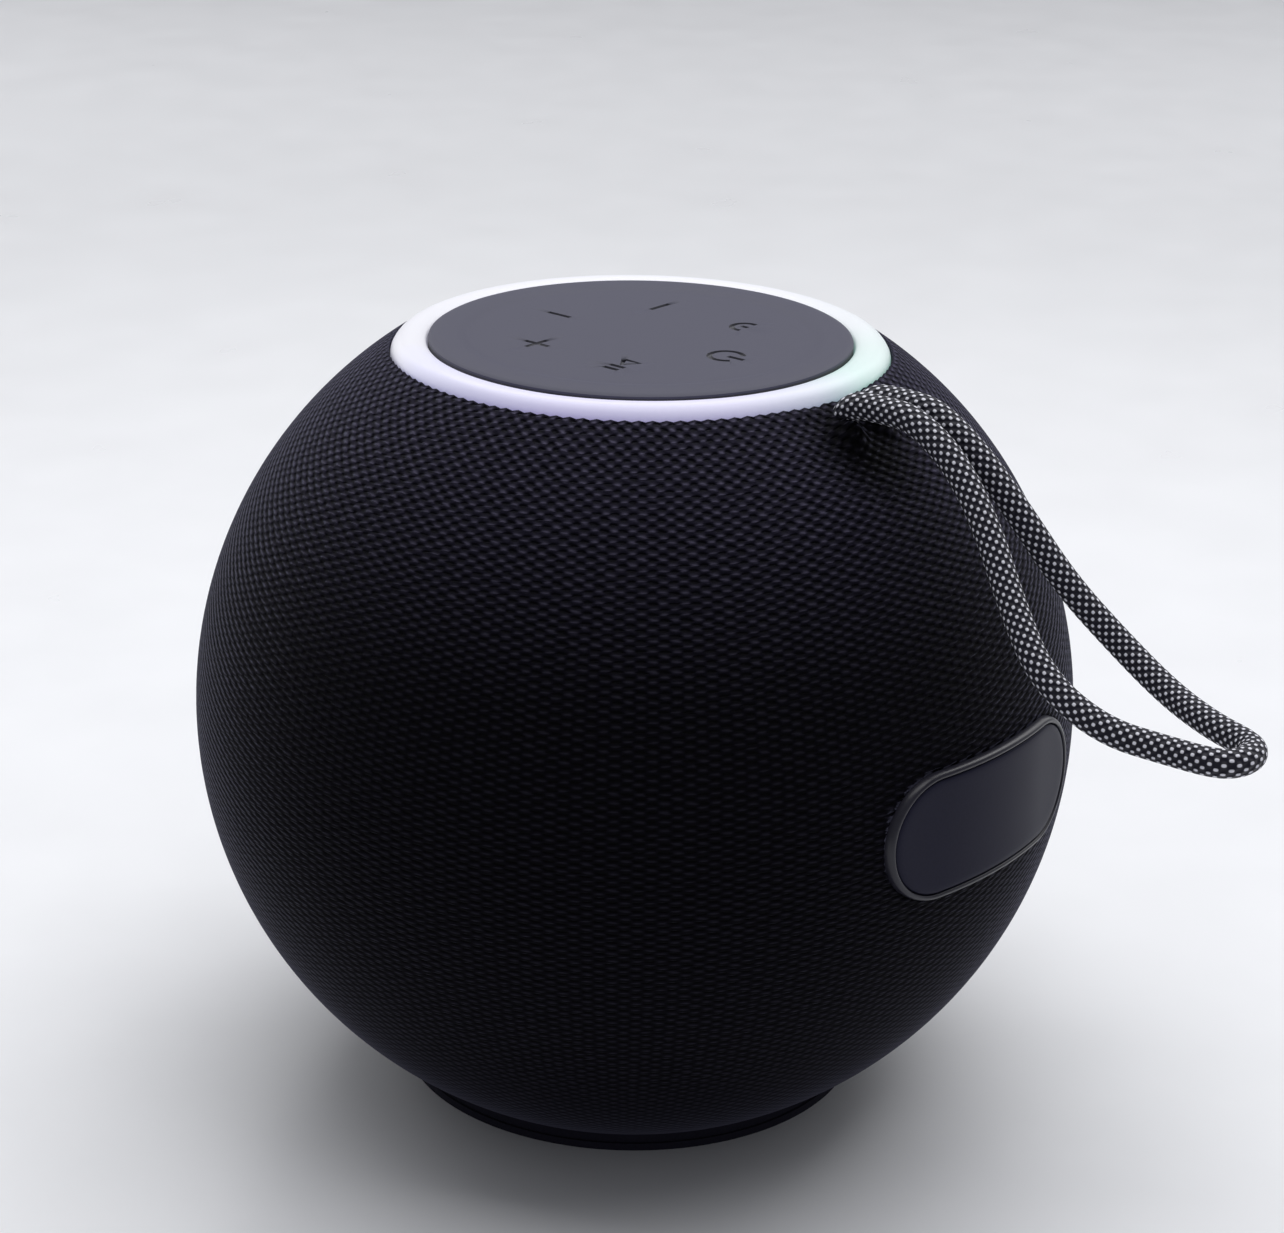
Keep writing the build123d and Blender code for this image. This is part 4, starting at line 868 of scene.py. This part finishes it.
# %% Bezel and flap finishes
bezel_grain = {"grain": 2500, "depth": 0.008, "shift": 0.06, "specular": 0.4}
bezel_look = grained("bezel_plastic", (0.016, 0.0155, 0.025), 0.32, **bezel_grain)
flap_grain = {"grain": 3000, "depth": 0.008, "shift": 0.08, "specular": 0.062}
flap_look = grained("flap_rubber", (0.0175, 0.0175, 0.0335), 0.36, **flap_grain)
print("port finishes", bezel_look.name, flap_look.name)

# %% Bezel
bezel_section = [
    (1.5, 58.5),
    (1.5, 63.7),
    (1.46, 63.87),
    (1.36, 63.98),
    (1.2, 64.03),
    (1.0, 64.0),
    (0.84, 63.88),
    (0.74, 63.66),
    (0.7, 63.3),
    (0.7, 62.1),
    (0.0, 62.05),
    (0.0, 58.5),
]
work = bmesh.new()
slot_wall(work, bezel_w, bezel_h, bezel_section, closed=True)
bezel = add_piece("port_rim", work, bezel_look, "speaker", sharp=40)
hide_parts("port_bezel")

# %% Flap with its plug rim
face_over = 0.34 * MM
face_weld = 0.06 * MM
face_w, face_h = flap_w + face_over, flap_h + face_over
face_section = [
    (0.0, 61.9),
    (0.0, 63.6),
    (0.06, 63.74),
    (0.2, 63.83),
    (0.45, 63.86),
    (1.0, 63.82),
    (2.0, 63.7),
    (3.4, 63.56),
    (5.0, 63.46),
    (6.6, 63.4),
    (7.6, 63.38),
    (face_h / MM / 2 - 0.02, 63.38),
]
plug_section = [(0.8, 62.0), (0.8, 59.4), (2.0, 59.4), (2.0, 62.0)]
work = bmesh.new()
slot_wall(work, face_w, face_h, face_section, closed=False)
bmesh.ops.remove_doubles(work, verts=work.verts, dist=face_weld)
bmesh.ops.triangle_fill(work, edges=[e for e in work.edges if e.is_boundary], use_beauty=True)
slot_wall(work, flap_w, flap_h, plug_section, closed=True)
flap = add_piece("flap_cover", work, flap_look, "flap", sharp=40)
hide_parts("port_flap")

# %% [markdown]
# The flap hangs on a short rubber strap that bends when the flap swings out. A thin box, divided
# along its length, fills the strap's place as it lies at rest.

# %% Strap of the flap
strap_cuts = 19
strap_low, strap_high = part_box("flap_strap")
strap_size = strap_high - strap_low
work = bmesh.new()
bmesh.ops.create_cube(work, size=1)
long = [e for e in work.edges if abs(e.verts[0].co.y - e.verts[1].co.y) > 0.5]
bmesh.ops.subdivide_edges(work, edges=long, cuts=strap_cuts)
for vert in work.verts:
    vert.co = [low + (c + 0.5) * size for low, c, size in zip(strap_low, vert.co, strap_size)]
strap = add_piece("flap_tether", work, flap_look, None, sharp=40)
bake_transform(strap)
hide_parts("flap_strap")

# %% [markdown]
# ## Driver's surround
# A half roll of soft rubber holds the cone in its frame and bends as the cone moves. It is spun
# from its section in two halves that meet on the crest. The outer half stays on the frame and the
# inner one follows the cone, so neither is pushed through the other.

# %% Two halves of the roll
roll_low, roll_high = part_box("driver_surround")
roll_middle = (roll_low + roll_high) / 2
roll_r, roll_t = 1.6, 0.4
half_width = 3.4
crest_gap = 0.01
lip_turn, crest_turn = 15, 90
roll_cuts, roll_steps = 8, 160
flat = -roll_high.y / MM
outer_edge = (roll_high.x - roll_low.x) / 2 / MM
crest_r = outer_edge - half_width
roll_dark = grained("roll_rubber", (0.012, 0.012, 0.014), 0.55, grain=2500, depth=0.02)


def half_roll(way, lip_edge, middle_r):
    """Closed section of a flat lip and a quarter ring; way is 1 outwards and -1 inwards."""
    section = [(lip_edge, flat), (lip_edge, flat + roll_t)]
    for radius, start, end in ((roll_r, lip_turn, crest_turn), (roll_r - roll_t, crest_turn, 0)):
        section += bow(radius, start, end, (middle_r, flat), roll_cuts, way)
    return section


for name, way, lip_edge, body in (
    ("surround_outer", 1, outer_edge, "speaker"),
    ("surround_inner", -1, crest_r - half_width, "cone_unit"),
):
    work = spun(half_roll(way, lip_edge, crest_r + crest_gap * way), roll_steps)
    lie_down = Matrix.Rotation(math.pi / 2, 3, "X")
    bmesh.ops.rotate(work, cent=(0, 0, 0), matrix=lie_down, verts=work.verts)
    bmesh.ops.translate(work, vec=(0, 0, roll_middle.z), verts=work.verts)
    half = add_piece(name, work, roll_dark, body, sharp=40)
    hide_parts("driver_surround")

# %% [markdown]
# ## Finishes of the inner parts
# The parts inside keep their shapes. Each gets the finish of its real material: satin black
# mouldings, brushed steel, ferrite, wound copper, pressed paper, woven cloth, green board.

# %% Finish for each inner part
brushed, turned_y = (1, 1, 8), (1, 9, 1)
windings, ribbon_cores = (0.05, 9, 0.05), (1, 0.01, 0.01)
finishes = {
    "shell": grained("shell_plastic", (0.02, 0.02, 0.024), 0.5, 0, 1800, 0.03),
    "foot": grained("foot_rubber", (0.017, 0.016, 0.027), 0.8, 0, 2500, 0.04, specular=0.12),
    "foam": grained("foam_gasket", (0.03, 0.03, 0.032), 0.9, 0, 3000, 0.15, 0.35),
    "steel": grained("brushed_steel", (0.62, 0.61, 0.6), 0.28, 1, 1200, 0.01, 0.08, brushed),
    "black_steel": grained("black_steel", (0.05, 0.05, 0.055), 0.35, 1, 2500, 0.02, 0.2),
    "ferrite": grained("ferrite", (0.045, 0.044, 0.046), 0.62, 0, 1600, 0.05, 0.4),
    "copper": grained("wound_copper", (0.72, 0.33, 0.16), 0.3, 1, 700, 0.06, 0.2, windings),
    "paper": grained("pressed_paper", (0.03, 0.03, 0.031), 0.85, 0, 2200, 0.1, 0.35),
    "cloth_ochre": grained("ochre_cloth", (0.5, 0.3, 0.09), 0.9, 0, 2600, 0.12, 0.3),
    "board": grained("green_board", (0.016, 0.13, 0.045), 0.36, 0, 420, 0.02, 0.45),
    "chip": grained("chip_epoxy", (0.02, 0.02, 0.021), 0.5, 0, 3000, 0.015),
    "led": grained("lamp_resin", (0.86, 0.84, 0.72), 0.3, 0, 1500, 0.005, 0.04),
    "can": grained("tinned_can", (0.7, 0.7, 0.69), 0.3, 1, 900, 0.008, 0.08, turned_y),
    "cap_sleeve": grained("capacitor_sleeve", (0.02, 0.03, 0.09), 0.4, 0, 1500, 0.01),
    "socket": grained("white_nylon", (0.74, 0.72, 0.66), 0.5, 0, 1500, 0.015, 0.05),
    "cell_wrap": grained("cell_wrap", (0.03, 0.14, 0.32), 0.35, 0, 900, 0.02, 0.1),
    "lead": grained("lead_sheath", (0.45, 0.02, 0.02), 0.45, 0, 1500, 0.01, 0.06),
    "ribbon": grained("flat_ribbon", (0.5, 0.5, 0.48), 0.5, 0, 900, 0.05, 0.35, ribbon_cores),
}
dressed = {
    "shell": "front_shell rear_shell top_deck port_tray battery_cradle rope_anchor",
    "foot": "base_foot base_plate radiator_surround",
    "foam": "seam_gasket driver_gasket battery_strap",
    "steel": "seam_screws base_screws deck_screws driver_screws radiator_screws tray_screws"
    " anchor_screws key_switches microphone top_plate yoke card_slot usb_c_port",
    "black_steel": "driver_frame radiator_frame",
    "ferrite": "magnet radiator_plate",
    "copper": "voice_coil",
    "paper": "driver_cone dust_cap",
    "cloth_ochre": "driver_spider",
    "board": "button_board led_board main_board",
    "chip": "board_chips audio_jack",
    "led": "leds",
    "can": "radio_module",
    "cap_sleeve": "capacitors",
    "socket": "board_sockets",
    "cell_wrap": "battery_cell",
    "lead": "speaker_lead battery_lead",
    "ribbon": "button_ribbon",
}
for kind, names in dressed.items():
    for name in names.split():
        node = frame["nodes"][name]
        if not node.data.materials:
            node.data.materials.append(finishes[kind])
        for number in range(len(node.material_slots)):
            node.material_slots[number].material = finishes[kind]
print("inner parts dressed:", sum(len(names.split()) for names in dressed.values()))

# %% [markdown]
# ## Floor and light
# A wide, soft lamp overhead gives most of the light. Lamp and sky together light a level surface so
# that its colour comes out about as written. Two weak windows behind the ball draw its outline. The
# pale floor is satin paper whose colour gets a little darker away from the speaker: painted light,
# a brighter pool round the ball.

# %% Floor
floor_colour = (0.79, 0.798, 0.825)
# Painted light: the floor's colour is lightest near the speaker and darker far from it.
light_pool_from, light_pool_to, light_pool_least = 0.14, 0.6, 0.76
paper_white = grained("floor_paper", floor_colour, 0.3, grain=40, depth=0.01, shift=0.01)
tree = paper_white.node_tree
shader = tree.nodes["Principled BSDF"]
where = add_node(tree, "TexCoord", {}).outputs["Object"]
far = add_node(tree, "VectorMath", {0: where}, operation="LENGTH").outputs["Value"]
# Painted light pool: the paper's colour is scaled down with distance from the speaker.
painted_light_pool = eased(tree, far, light_pool_from, light_pool_to, 1.0, light_pool_least)
tinted = shader.inputs["Base Color"].links[0].from_socket
fill_inputs(tree, shader, {"Base Color": scaled_colour(tree, tinted, painted_light_pool)})
work = bmesh.new()
bmesh.ops.create_grid(work, x_segments=4, y_segments=4, size=4)
floor = add_piece("floor", work, paper_white, None)

# %% Lamps and sky
sky_colour, sky_strength = (0.87, 0.88, 0.93, 1), 0.27
belly = (0, 0, 0.055)
sky = bpy.data.worlds.new("sky")
bpy.context.scene.world = sky
sky.use_nodes = True
sky_light = {"Color": sky_colour, "Strength": sky_strength}
fill_inputs(sky.node_tree, sky.node_tree.nodes["Background"], sky_light)


def lamp(name, place, aim, size, power):
    """A square soft lamp aimed at a point."""
    light = bpy.data.lights.new(name, "AREA")
    light.shape = "SQUARE"
    light.size = size
    light.energy = power
    made = bpy.data.objects.new(name, light)
    bpy.context.scene.collection.objects.link(made)
    made.location = place
    made.rotation_mode = "QUATERNION"
    made.rotation_quaternion = (Vector(aim) - Vector(place)).to_track_quat("-Z", "Y")


lamp("overhead", (-0.34, -0.13, 1.2), (0, 0, 0), size=1.7, power=20.5)
lamp("left_window", (-0.08, -0.9, 0.45), belly, size=0.7, power=2.6)
lamp("right_window", (-0.9, 0.08, 0.5), belly, size=0.7, power=2.0)
bpy.context.scene.view_settings.view_transform = "Standard"
